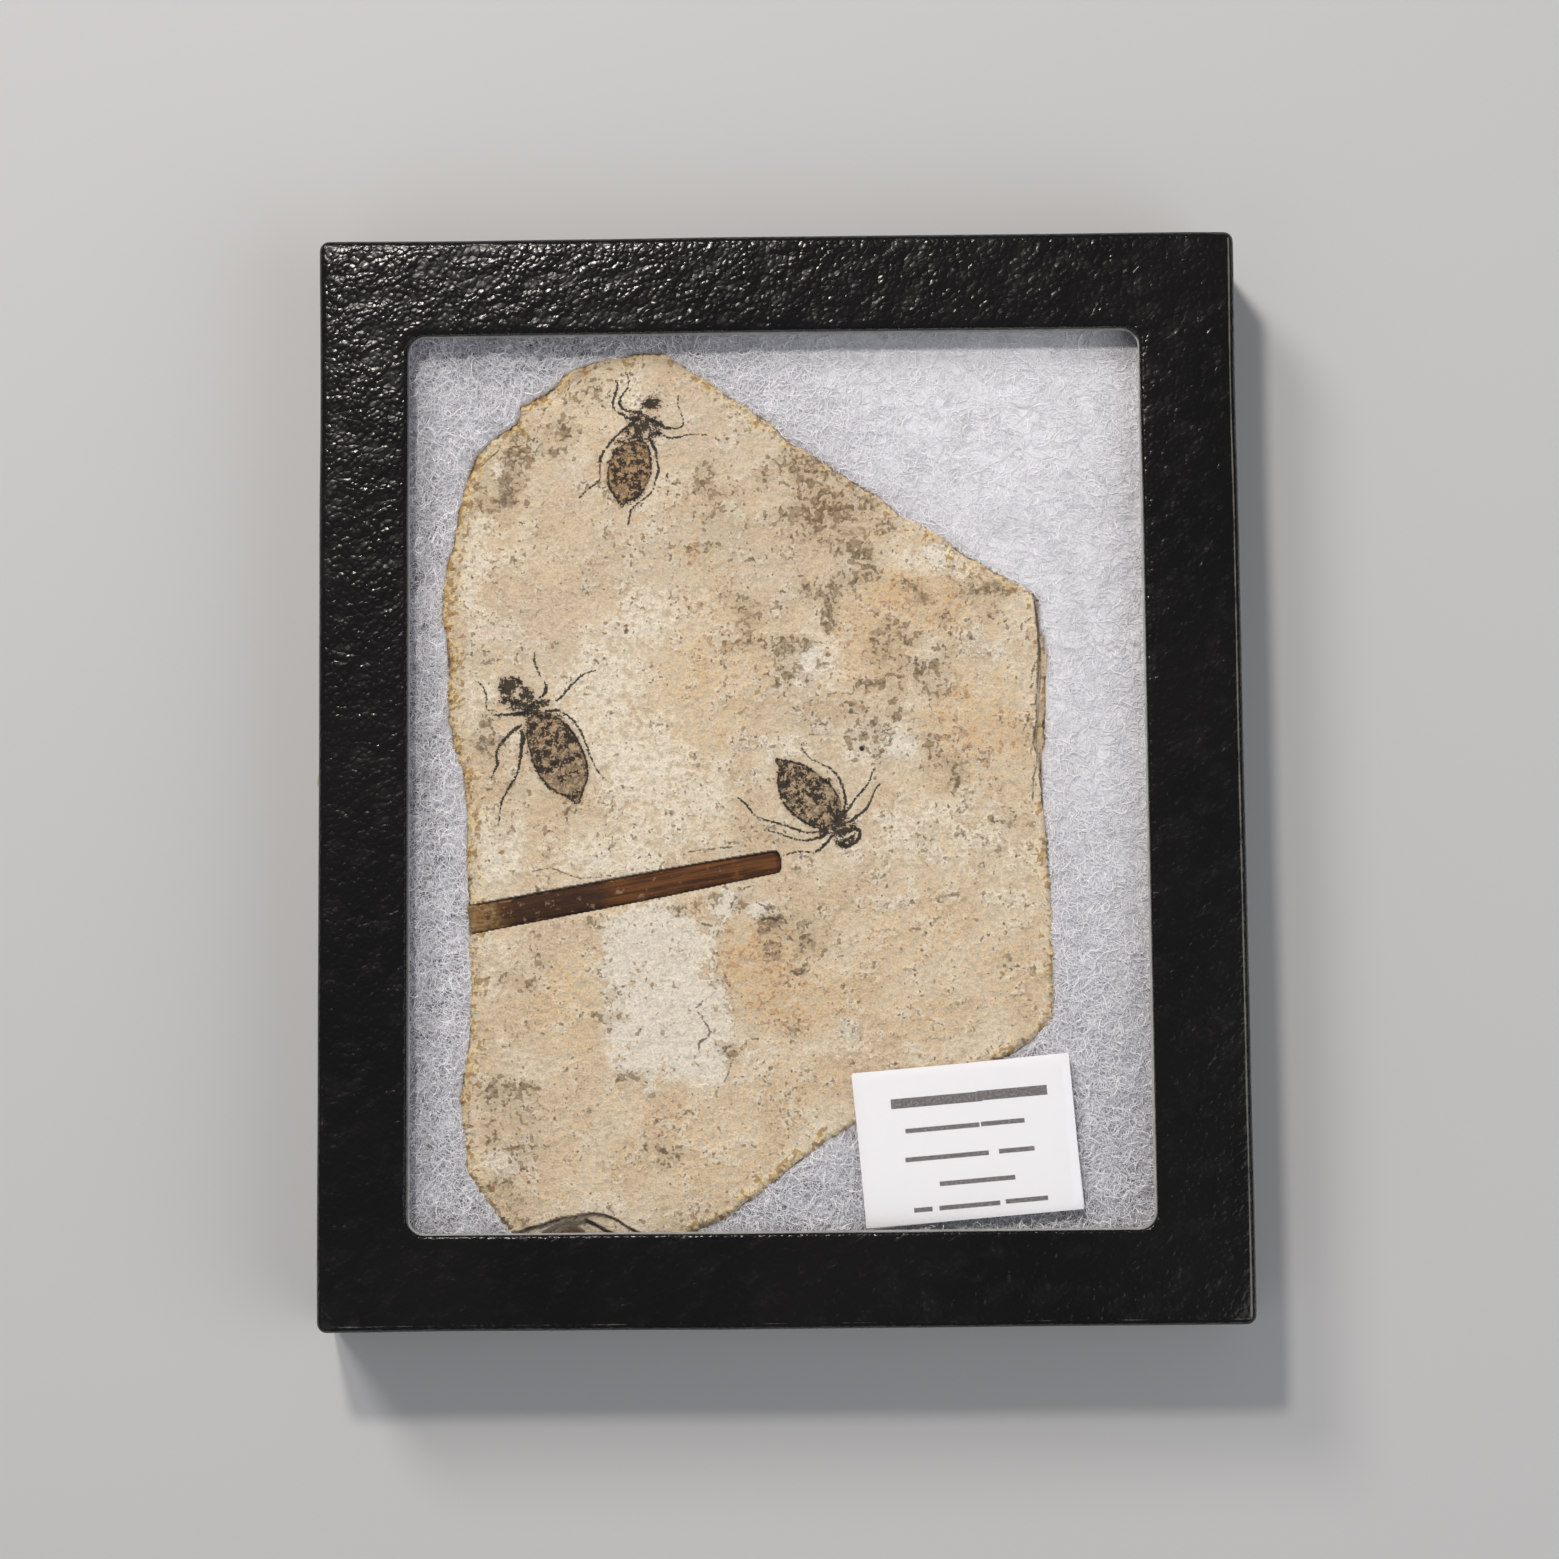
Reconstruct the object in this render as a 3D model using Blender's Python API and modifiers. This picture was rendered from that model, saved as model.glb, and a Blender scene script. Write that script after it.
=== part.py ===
"""A limestone plate with fossil dragonfly larvae, in a shallow case with a glass window, lying on its back.

A covered board tray holds a fibre pad, and the plate is pressed into the pad. A card lies on the plate's
corner, and a glass pane and a deep lid close the case, held by a pin through the left wall.
+Z points out of the glass and +Y to the head of the case. The origin is the middle of the case's back.
"""

import math
import random

import bmesh
import bpy
from mathutils import Matrix, Vector

MM = 0.001
GAP = 0.3 * MM  # left between pieces that touch

# Case, a size that such cases are sold in: 5.5 by 6.5 by 0.75 inches
CASE_WIDTH = 140.0 * MM
CASE_HEIGHT = 166.0 * MM
CASE_DEPTH = 19.0 * MM
WALL = 1.5 * MM  # covered board of the walls and the tray's bottom
FACE_BOARD = 1.6 * MM  # covered board round the window
LID_RIM = 1.2 * MM  # how far the lid's rim stays above the case's back
EDGE_ROUND = 1.2 * MM  # where the covering turns over an edge
TRAY_SLACK = 0.4 * MM  # between the lid's wall and the tray's, on each side
WINDOW_SIZE = (112.0 * MM, 137.0 * MM)
WINDOW_CENTRE = (-0.55 * MM, -0.3 * MM)
WINDOW_CORNER = 2.6 * MM
GLASS_THICK = 1.8 * MM

# Heights above the case's back, worked out from the face down
FACE_UNDER = CASE_DEPTH - FACE_BOARD
GLASS_TOP = FACE_UNDER - GAP
GLASS_UNDER = GLASS_TOP - GLASS_THICK
TRAY_TOP = GLASS_UNDER - GAP
CARD_THICK = 0.3 * MM
CARD_UNDER = GLASS_UNDER - GAP - CARD_THICK
PLATE_TOP = CARD_UNDER - GAP
PLATE_THICK = 6.9 * MM
PLATE_UNDER = PLATE_TOP - PLATE_THICK

# Inner sizes
LID_INSIDE = (CASE_WIDTH - 2 * WALL, CASE_HEIGHT - 2 * WALL)
TRAY_OUTSIDE = tuple(side - 2 * TRAY_SLACK for side in LID_INSIDE)
TRAY_INSIDE = tuple(side - 2 * WALL for side in TRAY_OUTSIDE)
GLASS_SIZE = tuple(side - 1.0 * MM for side in LID_INSIDE)
PAD_SIZE = tuple(side - 2 * GAP for side in TRAY_INSIDE)

# Pad: high under the glass, and turned down to the tray's walls
PAD_CREST = PLATE_TOP
PAD_AT_WALL = 8.8 * MM
PAD_SHOULDER = 15.0 * MM  # how far from the wall the turn-down starts
PAD_CELLS = (30, 36)
PAD_WAVE = 0.7 * MM

# Plate outline in millimetres, clockwise from the tip at its head
PLATE_OUTLINE = [
    (-20.5, 66.1), (-17.5, 66.0), (-14.0, 63.5), (-10.0, 60.9), (-5.5, 57.7), (-1.0, 54.9),
    (1.6, 51.9), (5.0, 50.0), (10.0, 46.6), (16.0, 42.7), (18.6, 40.3), (25.4, 36.5),
    (28.5, 34.0), (36.0, 29.5), (39.8, 27.2), (40.0, 23.0), (41.2, 18.5), (41.0, 12.0),
    (40.5, 5.0), (39.7, -2.6), (40.5, -10.8), (40.9, -21.0), (40.5, -25.5), (41.1, -32.1),
    (40.3, -37.3), (37.5, -40.5), (35.2, -42.2), (30.3, -44.4), (22.0, -47.6), (14.4, -51.0),
    (8.3, -53.9), (2.3, -58.3), (-4.4, -63.2), (-7.0, -65.6), (-13.3, -68.5), (-16.5, -71.0),
    (-20.0, -72.6), (-27.0, -72.2), (-33.5, -72.6), (-39.0, -71.0), (-42.4, -67.4),
    (-46.2, -61.9), (-48.1, -59.0), (-48.2, -54.2), (-49.2, -48.4), (-47.8, -40.5),
    (-47.3, -31.7), (-47.8, -19.2), (-48.2, -6.0), (-48.6, 0.9), (-50.2, 5.2), (-50.9, 9.4),
    (-50.8, 16.3), (-51.8, 25.6), (-51.5, 32.0), (-50.2, 36.5), (-49.2, 42.5), (-47.6, 48.4),
    (-46.7, 50.7), (-44.3, 52.9), (-40.5, 55.5), (-40.0, 58.0), (-34.5, 61.2), (-32.5, 63.5),
    (-28.3, 64.9), (-23.0, 65.5),
]  # fmt: skip
EDGE_STEP = 1.9 * MM  # spacing of the points along the broken edge
EDGE_ROUGH = 0.28 * MM
# Each ring of the broken edge: height, how far inside the outline, and how much it wanders
PLATE_RINGS = [
    (PLATE_UNDER, 2.6 * MM, 1.6),
    (PLATE_UNDER + 1.7 * MM, 0.9 * MM, 1.5),
    (PLATE_UNDER + 3.4 * MM, 0.15 * MM, 1.0),
    (PLATE_TOP - 2.2 * MM, 0.25 * MM, 1.2),
    (PLATE_TOP - 0.75 * MM, 0.4 * MM, 1.0),
    (PLATE_TOP - 0.15 * MM, 1.1 * MM, 1.2),
    (PLATE_TOP, 3.2 * MM, 1.4),
]
LEDGE_FROM, LEDGE_TO = -2.0 * MM, 27.0 * MM  # the right edge's lower bed shows between these
LEDGE_WIDTH = 1.9 * MM
LEDGE_SIDE = 37.0 * MM  # only edge points further right than this have the ledge
UPPER_BED = PLATE_TOP - 1.0 * MM  # rings above this height step back at the ledge

# Flake scar at the plate's foot: the top bed broken back, and a notch through all the beds.
# Each is centre x, centre y, half width, half height and floor height.
SCAR = (-31.0 * MM, -73.0 * MM, 10.2 * MM, 7.4 * MM, PLATE_TOP - 1.8 * MM)
NOTCH = (-33.0 * MM, -74.0 * MM, 4.6 * MM, 6.0 * MM, PLATE_UNDER - 2.0 * MM)

# Fossil reed, a stem laid in a groove that opens at the plate's left edge
REED_START = Vector((-47.3 * MM, -21.2 * MM, 0))
REED_END = Vector((-0.2 * MM, -12.75 * MM, 0))
REED_WIDTHS = (4.2 * MM, 4.0 * MM, 3.1 * MM)  # at its left end, at its middle and near its right end
REED_THICK = 1.7 * MM
REED_BELOW = 0.35 * MM  # how far the reed's crown lies under the plate's face
REED_ROUND = 1.1 * MM

# Card, laid a little askew over the plate's lower right edge
CARD_SIZE = (32.7 * MM, 23.3 * MM)
CARD_CENTRE = (27.5 * MM, -55.4 * MM)
CARD_TURN = math.radians(4.6)

# Closing pin, through the left wall at mid height
PIN_Y = 0.6 * MM
PIN_Z = 9.6 * MM
PIN_HEAD_RADIUS = 1.6 * MM
PIN_HEAD_HEIGHT = 0.85 * MM
PIN_SHANK_RADIUS = 0.45 * MM
PIN_LENGTH = 8.0 * MM
PIN_HOLE_RADIUS = PIN_SHANK_RADIUS + GAP

OBJECT_NAME = "fossil_plate_in_case"
CUTTERS_NAME = "cutters"
OVERCUT = 2.0 * MM  # how far a cutter runs past what it cuts


def clear_scene():
    for obj in list(bpy.data.objects):
        bpy.data.objects.remove(obj, do_unlink=True)


def make_collection(name):
    collection = bpy.data.collections.new(name)
    bpy.context.scene.collection.children.link(collection)
    return collection


def make_material(name, colour, roughness, metallic=0.0, alpha=1.0):
    material = bpy.data.materials.new(name)
    material.use_nodes = True
    shader = material.node_tree.nodes["Principled BSDF"]
    shader.inputs["Base Color"].default_value = (*colour, 1.0)
    shader.inputs["Roughness"].default_value = roughness
    shader.inputs["Metallic"].default_value = metallic
    shader.inputs["Alpha"].default_value = alpha
    return material


def new_object(name, bm, collection, material=None, location=(0, 0, 0)):
    """Turns a bmesh into a named object in its collection."""
    mesh = bpy.data.meshes.new(name)
    bm.to_mesh(mesh)
    bm.free()
    obj = bpy.data.objects.new(name, mesh)
    obj.location = location
    collection.objects.link(obj)
    if material:
        mesh.materials.append(material)
    if collection.name == CUTTERS_NAME:
        obj.hide_render = True
        obj.display_type = "WIRE"
    return obj


def box_mesh(size):
    """A box of this size about its own centre."""
    bm = bmesh.new()
    bmesh.ops.create_cube(bm, size=1.0)
    bmesh.ops.scale(bm, vec=size, verts=bm.verts)
    return bm


def mark_edges(bm, wanted):
    """Gives the edges that wanted picks a full bevel weight."""
    weight = bm.edges.layers.float.new("bevel_weight_edge")
    for edge in bm.edges:
        if wanted(edge):
            edge[weight] = 1.0


def is_upright(edge):
    low, high = (v.co for v in edge.verts)
    return abs(high.z - low.z) > 0.5 * (high - low).length


def is_upper(edge):
    return min(v.co.z for v in edge.verts) > 0


def round_edges(obj, width, segments):
    bevel = obj.modifiers.new("rounded edges", "BEVEL")
    bevel.limit_method = "WEIGHT"
    bevel.width = width
    bevel.segments = segments


def cut(obj, cutter):
    boolean = obj.modifiers.new("cut by " + cutter.name, "BOOLEAN")
    boolean.operation = "DIFFERENCE"
    boolean.solver = "EXACT"
    boolean.object = cutter


def rounded_block(name, size, centre, corner, segments, collection):
    """A block whose upright edges are rounded, as a cutter or a plain piece."""
    bm = box_mesh(size)
    mark_edges(bm, is_upright)
    obj = new_object(name, bm, collection, location=centre)
    round_edges(obj, corner, segments)
    return obj


def pin_hole(cutters):
    bm = bmesh.new()
    bmesh.ops.create_cone(
        bm,
        cap_ends=True,
        segments=20,
        radius1=PIN_HOLE_RADIUS,
        radius2=PIN_HOLE_RADIUS,
        depth=2 * (PIN_LENGTH + OVERCUT),
        matrix=Matrix.Rotation(math.radians(90), 4, "Y"),
    )
    return new_object("pin_hole", bm, cutters, location=(-CASE_WIDTH / 2, PIN_Y, PIN_Z))


def build_lid(parts, cutters, hole):
    """The deep lid: a face with the window, and four walls that drop over the tray."""
    height = CASE_DEPTH - LID_RIM
    bm = box_mesh((CASE_WIDTH, CASE_HEIGHT, height))
    mark_edges(bm, lambda edge: is_upright(edge) or is_upper(edge))
    black = make_material("black leathercloth lid", (0.018, 0.017, 0.016), 0.42)
    lid = new_object("lid", bm, parts, black, (0, 0, LID_RIM + height / 2))
    round_edges(lid, EDGE_ROUND, 4)
    hollow_height = FACE_UNDER - LID_RIM + OVERCUT
    hollow = rounded_block(
        "lid_hollow",
        (*LID_INSIDE, hollow_height),
        (0, 0, FACE_UNDER - hollow_height / 2),
        0.4 * MM,
        1,
        cutters,
    )
    window = rounded_block(
        "window",
        (*WINDOW_SIZE, FACE_BOARD + 2 * OVERCUT),
        (*WINDOW_CENTRE, FACE_UNDER + FACE_BOARD / 2),
        WINDOW_CORNER,
        6,
        cutters,
    )
    cut(lid, hollow)
    cut(lid, window)
    cut(lid, hole)


def build_tray(parts, cutters, hole):
    """The shallow tray that the lid drops over, open upwards."""
    bm = box_mesh((*TRAY_OUTSIDE, TRAY_TOP))
    mark_edges(bm, is_upright)
    black = make_material("black paper tray", (0.02, 0.019, 0.018), 0.6)
    tray = new_object("tray", bm, parts, black, (0, 0, TRAY_TOP / 2))
    round_edges(tray, 0.7 * MM, 2)
    hollow_height = TRAY_TOP - WALL + OVERCUT
    hollow = rounded_block(
        "tray_hollow", (*TRAY_INSIDE, hollow_height), (0, 0, WALL + hollow_height / 2), 0.4 * MM, 1, cutters
    )
    cut(tray, hollow)
    cut(tray, hole)


def build_glass(parts):
    clear = make_material("window glass", (0.9, 0.95, 0.93), 0.02, alpha=0.2)
    bm = box_mesh((*GLASS_SIZE, GLASS_THICK))
    mark_edges(bm, lambda edge: True)
    glass = new_object("glass_pane", bm, parts, clear, (0, 0, GLASS_UNDER + GLASS_THICK / 2))
    round_edges(glass, 0.2 * MM, 1)


def edge_points(outline):
    """Points spaced along the outline, each with the direction out of the plate there."""
    corners = [Vector((x * MM, y * MM)) for x, y in outline]
    found = []
    for here, there in zip(corners, corners[1:] + corners[:1]):
        count = max(1, round((there - here).length / EDGE_STEP))
        found += [here.lerp(there, i / count) for i in range(count)]
    spaced = []
    for i, point in enumerate(found):
        along = found[(i + 1) % len(found)] - found[i - 1]
        # The outline runs clockwise, so the left of the way along points out.
        spaced.append((point, Vector((-along.y, along.x)).normalized()))
    return spaced


def ring_points(spaced, height, inset, rough, chance, ledge):
    """One closed ring at this height, inset from the outline and wandering in and out by rough."""
    ring = []
    for point, out in spaced:
        on_ledge = point.x > LEDGE_SIDE and LEDGE_FROM < point.y < LEDGE_TO
        wander = chance.uniform(-rough, rough * 0.4)
        moved = point + out * (wander - inset - ledge * on_ledge)
        ring.append(Vector((moved.x, moved.y, height)))
    return ring


def loft(rings):
    """A closed solid through rings of equal count, from the lowest to the highest."""
    bm = bmesh.new()
    rows = [[bm.verts.new(point) for point in ring] for ring in rings]
    for low, high in zip(rows, rows[1:]):
        for i in range(len(low)):
            bm.faces.new((low[i - 1], low[i], high[i], high[i - 1]))
    bm.faces.new(rows[0])
    bm.faces.new(rows[-1])
    bmesh.ops.triangulate(bm, faces=bm.faces)
    bmesh.ops.recalc_face_normals(bm, faces=bm.faces)
    return bm


def outline_block(name, points, low, high, collection):
    """A straight-sided block on a flat outline, from a filled curve made into a mesh."""
    data = bpy.data.curves.new(name + "_outline", "CURVE")
    data.dimensions = "2D"
    data.fill_mode = "BOTH"
    data.extrude = (high - low) / 2
    spline = data.splines.new("POLY")
    spline.points.add(len(points) - 1)
    for spot, (x, y) in zip(spline.points, points):
        spot.co = (x, y, 0, 1)
    spline.use_cyclic_u = True
    curve = bpy.data.objects.new(name + "_outline", data)
    collection.objects.link(curve)
    evaluated = curve.evaluated_get(bpy.context.evaluated_depsgraph_get())
    bm = bmesh.new()
    bm.from_mesh(bpy.data.meshes.new_from_object(evaluated))
    bmesh.ops.remove_doubles(bm, verts=bm.verts, dist=0.00001)
    bmesh.ops.recalc_face_normals(bm, faces=bm.faces)
    bpy.data.objects.remove(curve, do_unlink=True)
    return new_object(name, bm, collection, location=(0, 0, (low + high) / 2))


def scoop(name, shape, sides, cutters):
    """An upright many-sided cutter of oval plan, open above the plate."""
    x, y, half_width, half_height, floor = shape
    height = PLATE_TOP + OVERCUT - floor
    bm = bmesh.new()
    bmesh.ops.create_cone(bm, cap_ends=True, segments=sides, radius1=1.0, radius2=1.0, depth=height)
    bmesh.ops.scale(bm, vec=(half_width, half_height, 1), verts=bm.verts)
    return new_object(name, bm, cutters, location=(x, y, floor + height / 2))


def reed_bar(name, clearance, crown, parts, material=None):
    """A tapering bar with a rounded back and a rounded right end, laid along the reed's line."""
    along = REED_END - REED_START
    length = along.length + 2 * clearance
    low = PLATE_TOP - REED_BELOW - REED_THICK - clearance
    bm = box_mesh((length, 1.0, crown - low))
    bmesh.ops.subdivide_edges(
        bm, edges=[e for e in bm.edges if abs(e.verts[0].co.x - e.verts[1].co.x) > length / 2], cuts=7
    )
    for vert in bm.verts:
        share = vert.co.x / length + 0.5
        if share < 0.5:
            width = REED_WIDTHS[0] + (REED_WIDTHS[1] - REED_WIDTHS[0]) * share / 0.5
        else:
            width = REED_WIDTHS[1] + (REED_WIDTHS[2] - REED_WIDTHS[1]) * ((share - 0.5) / 0.5) ** 1.5
        vert.co.y *= width + 2 * clearance
    lying = math.atan2(along.y, along.x)
    half = length / 2
    side = REED_WIDTHS[2] / 4

    def wanted(edge):
        at_end = all(v.co.x > half - 1e-6 for v in edge.verts)
        long_top = is_upper(edge) and all(abs(v.co.y) > side for v in edge.verts) and not at_end
        runs_along = abs(edge.verts[0].co.x - edge.verts[1].co.x) > 1e-6
        return (at_end and is_upright(edge)) or (long_top and runs_along)

    mark_edges(bm, wanted)
    middle = (REED_START + REED_END) / 2
    bar = new_object(name, bm, parts, material, (middle.x, middle.y, (low + crown) / 2))
    bar.rotation_euler.z = lying
    round_edges(bar, REED_ROUND, 4)
    return bar


def build_plate(parts, cutters):
    """The limestone plate, with its groove for the reed and the flake scar at its foot."""
    chance = random.Random(16)
    spaced = edge_points(PLATE_OUTLINE)
    rings = []
    for height, inset, wander in PLATE_RINGS:
        ledge = LEDGE_WIDTH if height > UPPER_BED else 0.0
        rings.append(ring_points(spaced, height, inset, EDGE_ROUGH * wander, chance, ledge))
    stone = make_material("cream limestone", (0.66, 0.55, 0.42), 0.85)
    plate = new_object("fossil_plate", loft(rings), parts, stone)
    cut(plate, reed_bar("reed_groove", GAP, PLATE_TOP + OVERCUT, cutters))
    cut(plate, scoop("scar", SCAR, 15, cutters))
    cut(plate, scoop("notch", NOTCH, 9, cutters))


def build_reed(parts):
    brown = make_material("brown fossil reed", (0.12, 0.055, 0.028), 0.45)
    reed_bar("fossil_reed", 0.0, PLATE_TOP - REED_BELOW, parts, brown)


def pad_height(x, y):
    """The height of the pad's top: a crest that waves a little and turns down at the walls."""
    from_wall = min(PAD_SIZE[0] / 2 - abs(x), PAD_SIZE[1] / 2 - abs(y))
    share = min(1.0, max(0.0, from_wall / PAD_SHOULDER))
    turn = math.sqrt(max(0.0, 1 - (1 - share) ** 2))
    wave = PAD_WAVE * (0.5 + 0.5 * math.sin(x / (11 * MM)) * math.cos(y / (14 * MM)))
    return PAD_AT_WALL + (PAD_CREST - PAD_AT_WALL) * turn - wave * share


def build_pad(parts, cutters, hole):
    """The fibre pad that fills the tray, with the hollow that the plate is pressed into."""
    floor = WALL + GAP
    bm = bmesh.new()
    bmesh.ops.create_grid(bm, x_segments=PAD_CELLS[0], y_segments=PAD_CELLS[1], size=0.5)
    bmesh.ops.scale(bm, vec=(*PAD_SIZE, 1), verts=bm.verts)
    crown = list(bm.verts)
    rim = [edge for edge in bm.edges if edge.is_boundary]
    dropped = bmesh.ops.extrude_edge_only(bm, edges=rim)["geom"]
    foot = [item for item in dropped if isinstance(item, bmesh.types.BMVert)]
    for vert in crown:
        vert.co.z = pad_height(vert.co.x, vert.co.y)
    for vert in foot:
        vert.co.z = floor
    bmesh.ops.holes_fill(bm, edges=[edge for edge in bm.edges if edge.is_boundary])
    bmesh.ops.recalc_face_normals(bm, faces=bm.faces)
    white = make_material("white fibre fill", (0.86, 0.87, 0.9), 0.95)
    pad = new_object("fibre_pad", bm, parts, white)
    room = GAP + EDGE_ROUGH
    rim = [point + out * room for point, out in edge_points(PLATE_OUTLINE)]
    cut(pad, outline_block("plate_hollow", rim, PLATE_UNDER - GAP, PAD_CREST + OVERCUT, cutters))
    cut(pad, hole)


def build_card(parts):
    paper = make_material("white card", (0.85, 0.85, 0.86), 0.7)
    bm = box_mesh((*CARD_SIZE, CARD_THICK))
    card = new_object("name_card", bm, parts, paper, (*CARD_CENTRE, CARD_UNDER + CARD_THICK / 2))
    card.rotation_euler.z = CARD_TURN


def build_pin(parts):
    """The closing pin: a domed head and a pointed shank, turned about its own axis."""
    dome_steps = 6
    outer = [
        (PIN_HEAD_RADIUS * math.sin(turn), PIN_HEAD_HEIGHT * math.cos(turn))
        for turn in (math.radians(90) * i / dome_steps for i in range(dome_steps + 1))
    ]
    tip = -PIN_LENGTH + PIN_HEAD_HEIGHT
    profile = outer + [(PIN_SHANK_RADIUS, 0), (PIN_SHANK_RADIUS, tip + 1.2 * MM), (0, tip)]
    bm = bmesh.new()
    verts = [bm.verts.new((radius, 0, height)) for radius, height in profile]
    for upper, lower in zip(verts, verts[1:]):
        bm.edges.new((upper, lower))
    brass = make_material("brass", (0.7, 0.52, 0.28), 0.25, metallic=1.0)
    pin = new_object("closing_pin", bm, parts, brass, (-CASE_WIDTH / 2 - GAP, PIN_Y, PIN_Z))
    pin.rotation_euler.y = math.radians(-90)
    screw = pin.modifiers.new("turned", "SCREW")
    screw.steps = 24
    screw.render_steps = 24
    screw.use_merge_vertices = True
    screw.merge_threshold = 0.00001
    screw.use_smooth_shade = False


def build():
    clear_scene()
    parts = make_collection(OBJECT_NAME)
    cutters = make_collection(CUTTERS_NAME)
    hole = pin_hole(cutters)
    build_lid(parts, cutters, hole)
    build_tray(parts, cutters, hole)
    build_glass(parts)
    build_plate(parts, cutters)
    build_reed(parts)
    build_pad(parts, cutters, hole)
    build_card(parts)
    build_pin(parts)


build()
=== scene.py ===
# A limestone plate with fossil dragonfly larvae, in a shallow case with a glass window, lying on its back.

import math

import bmesh
import bpy
import numpy as np
from mathutils import Matrix, Vector


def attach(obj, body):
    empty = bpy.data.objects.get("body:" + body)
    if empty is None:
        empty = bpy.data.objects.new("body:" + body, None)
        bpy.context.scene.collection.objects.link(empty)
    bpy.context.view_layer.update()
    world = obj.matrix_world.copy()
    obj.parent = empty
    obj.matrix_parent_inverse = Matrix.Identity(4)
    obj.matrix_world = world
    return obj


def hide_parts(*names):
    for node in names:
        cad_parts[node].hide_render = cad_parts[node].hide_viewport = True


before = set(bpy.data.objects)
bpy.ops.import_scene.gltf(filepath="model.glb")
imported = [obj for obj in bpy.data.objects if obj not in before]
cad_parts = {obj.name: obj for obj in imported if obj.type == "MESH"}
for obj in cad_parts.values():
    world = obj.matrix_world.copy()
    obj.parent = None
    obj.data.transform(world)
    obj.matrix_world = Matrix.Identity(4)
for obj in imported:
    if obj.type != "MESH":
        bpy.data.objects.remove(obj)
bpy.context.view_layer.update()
mm = 0.001


# Small helpers for modelling

def deselectAll():
    if bpy.context.mode != "OBJECT":
        bpy.ops.object.mode_set(mode="OBJECT")
    bpy.ops.object.select_all(action="DESELECT")


def openMesh(piece, kind="VERT"):
    deselectAll()
    piece.select_set(True)
    bpy.context.view_layer.objects.active = piece
    bpy.ops.object.mode_set(mode="EDIT")
    bpy.ops.mesh.select_mode(type=kind)
    bpy.ops.mesh.select_all(action="DESELECT")
    return bmesh.from_edit_mesh(piece.data)


def closeMesh():
    bpy.ops.mesh.select_all(action="SELECT")
    bpy.ops.mesh.normals_make_consistent(inside=False)
    bpy.ops.object.mode_set(mode="OBJECT")


def cornersOf(piece):
    spots = np.empty(len(piece.data.vertices) * 3)
    piece.data.vertices.foreach_get("co", spots)
    return spots.reshape(-1, 3) / mm


def moveCorners(piece, spots):
    piece.data.vertices.foreach_set("co", (np.asarray(spots) * mm).ravel())
    piece.data.update()


def finishPiece(piece, name, material, cadNode=None, smooth=40):
    # The piece's place goes into its mesh, and it rides on the case
    deselectAll()
    piece.select_set(True)
    bpy.context.view_layer.objects.active = piece
    bpy.ops.object.transform_apply(location=True, rotation=True, scale=True)
    if smooth:
        bpy.ops.object.shade_smooth_by_angle(angle=math.radians(smooth))
    piece.name = piece.data.name = name
    piece.data.materials.clear()
    piece.data.materials.append(material)
    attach(piece, "root")
    if cadNode:
        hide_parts(cadNode)
    print("made", name, "with", len(piece.data.polygons), "faces")
    return piece


def growRings(rings, ends):
    # A circle is moved to the first ring and extruded from ring to ring. With "cap" both ends are closed, and
    # with "join" the last ring is the first one again.
    deselectAll()
    bpy.ops.mesh.primitive_circle_add(vertices=len(rings[0]), radius=0.05)
    piece = bpy.context.object
    mesh = openMesh(piece, "EDGE")
    order = mesh.verts.layers.int.new("order")
    for i, corner in enumerate(mesh.verts):
        corner[order] = i
        corner.co = Vector(rings[0][i]) * mm
    bmesh.update_edit_mesh(piece.data)
    bpy.ops.mesh.select_all(action="SELECT")
    if ends == "cap":
        bpy.ops.mesh.edge_face_add()
        bpy.ops.mesh.select_mode(type="EDGE")
    for ring in rings[1:]:
        bpy.ops.mesh.extrude_edges_move()
        mesh = bmesh.from_edit_mesh(piece.data)
        order = mesh.verts.layers.int["order"]
        for corner in mesh.verts:
            if corner.select:
                corner.co = Vector(ring[corner[order]]) * mm
        bmesh.update_edit_mesh(piece.data)
    if ends == "cap":
        bpy.ops.mesh.edge_face_add()
    bpy.ops.mesh.select_all(action="SELECT")
    bpy.ops.mesh.remove_doubles(threshold=0.000002)
    closeMesh()
    return piece


def roundedRing(half, corner, height, centre=(0, 0), perSide=(56, 66), perCorner=7):
    # Points of a rounded rectangle, anticlockwise from its right side
    ring = []
    inner = (half[0] - corner, half[1] - corner)
    signs = ((1, 1), (-1, 1), (-1, -1), (1, -1))
    for turn, (sx, sy) in enumerate(signs):
        for i in range(perCorner):
            angle = math.radians(90 * (turn + i / (perCorner - 1)))
            ring.append((sx * inner[0] + corner * math.cos(angle), sy * inner[1] + corner * math.sin(angle)))
        nextX, nextY = signs[(turn + 1) % 4]
        steps = perSide[turn % 2]
        away = math.radians(90 * (turn + 1))
        start = (sx * inner[0] + corner * math.cos(away), sy * inner[1] + corner * math.sin(away))
        end = (nextX * inner[0] + corner * math.cos(away), nextY * inner[1] + corner * math.sin(away))
        for i in range(1, steps):
            share = i / steps
            ring.append((start[0] + (end[0] - start[0]) * share, start[1] + (end[1] - start[1]) * share))
    return np.array([(x + centre[0], y + centre[1], height) for x, y in ring])


# Soft random hills for shaping, from a lattice of random values

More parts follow.
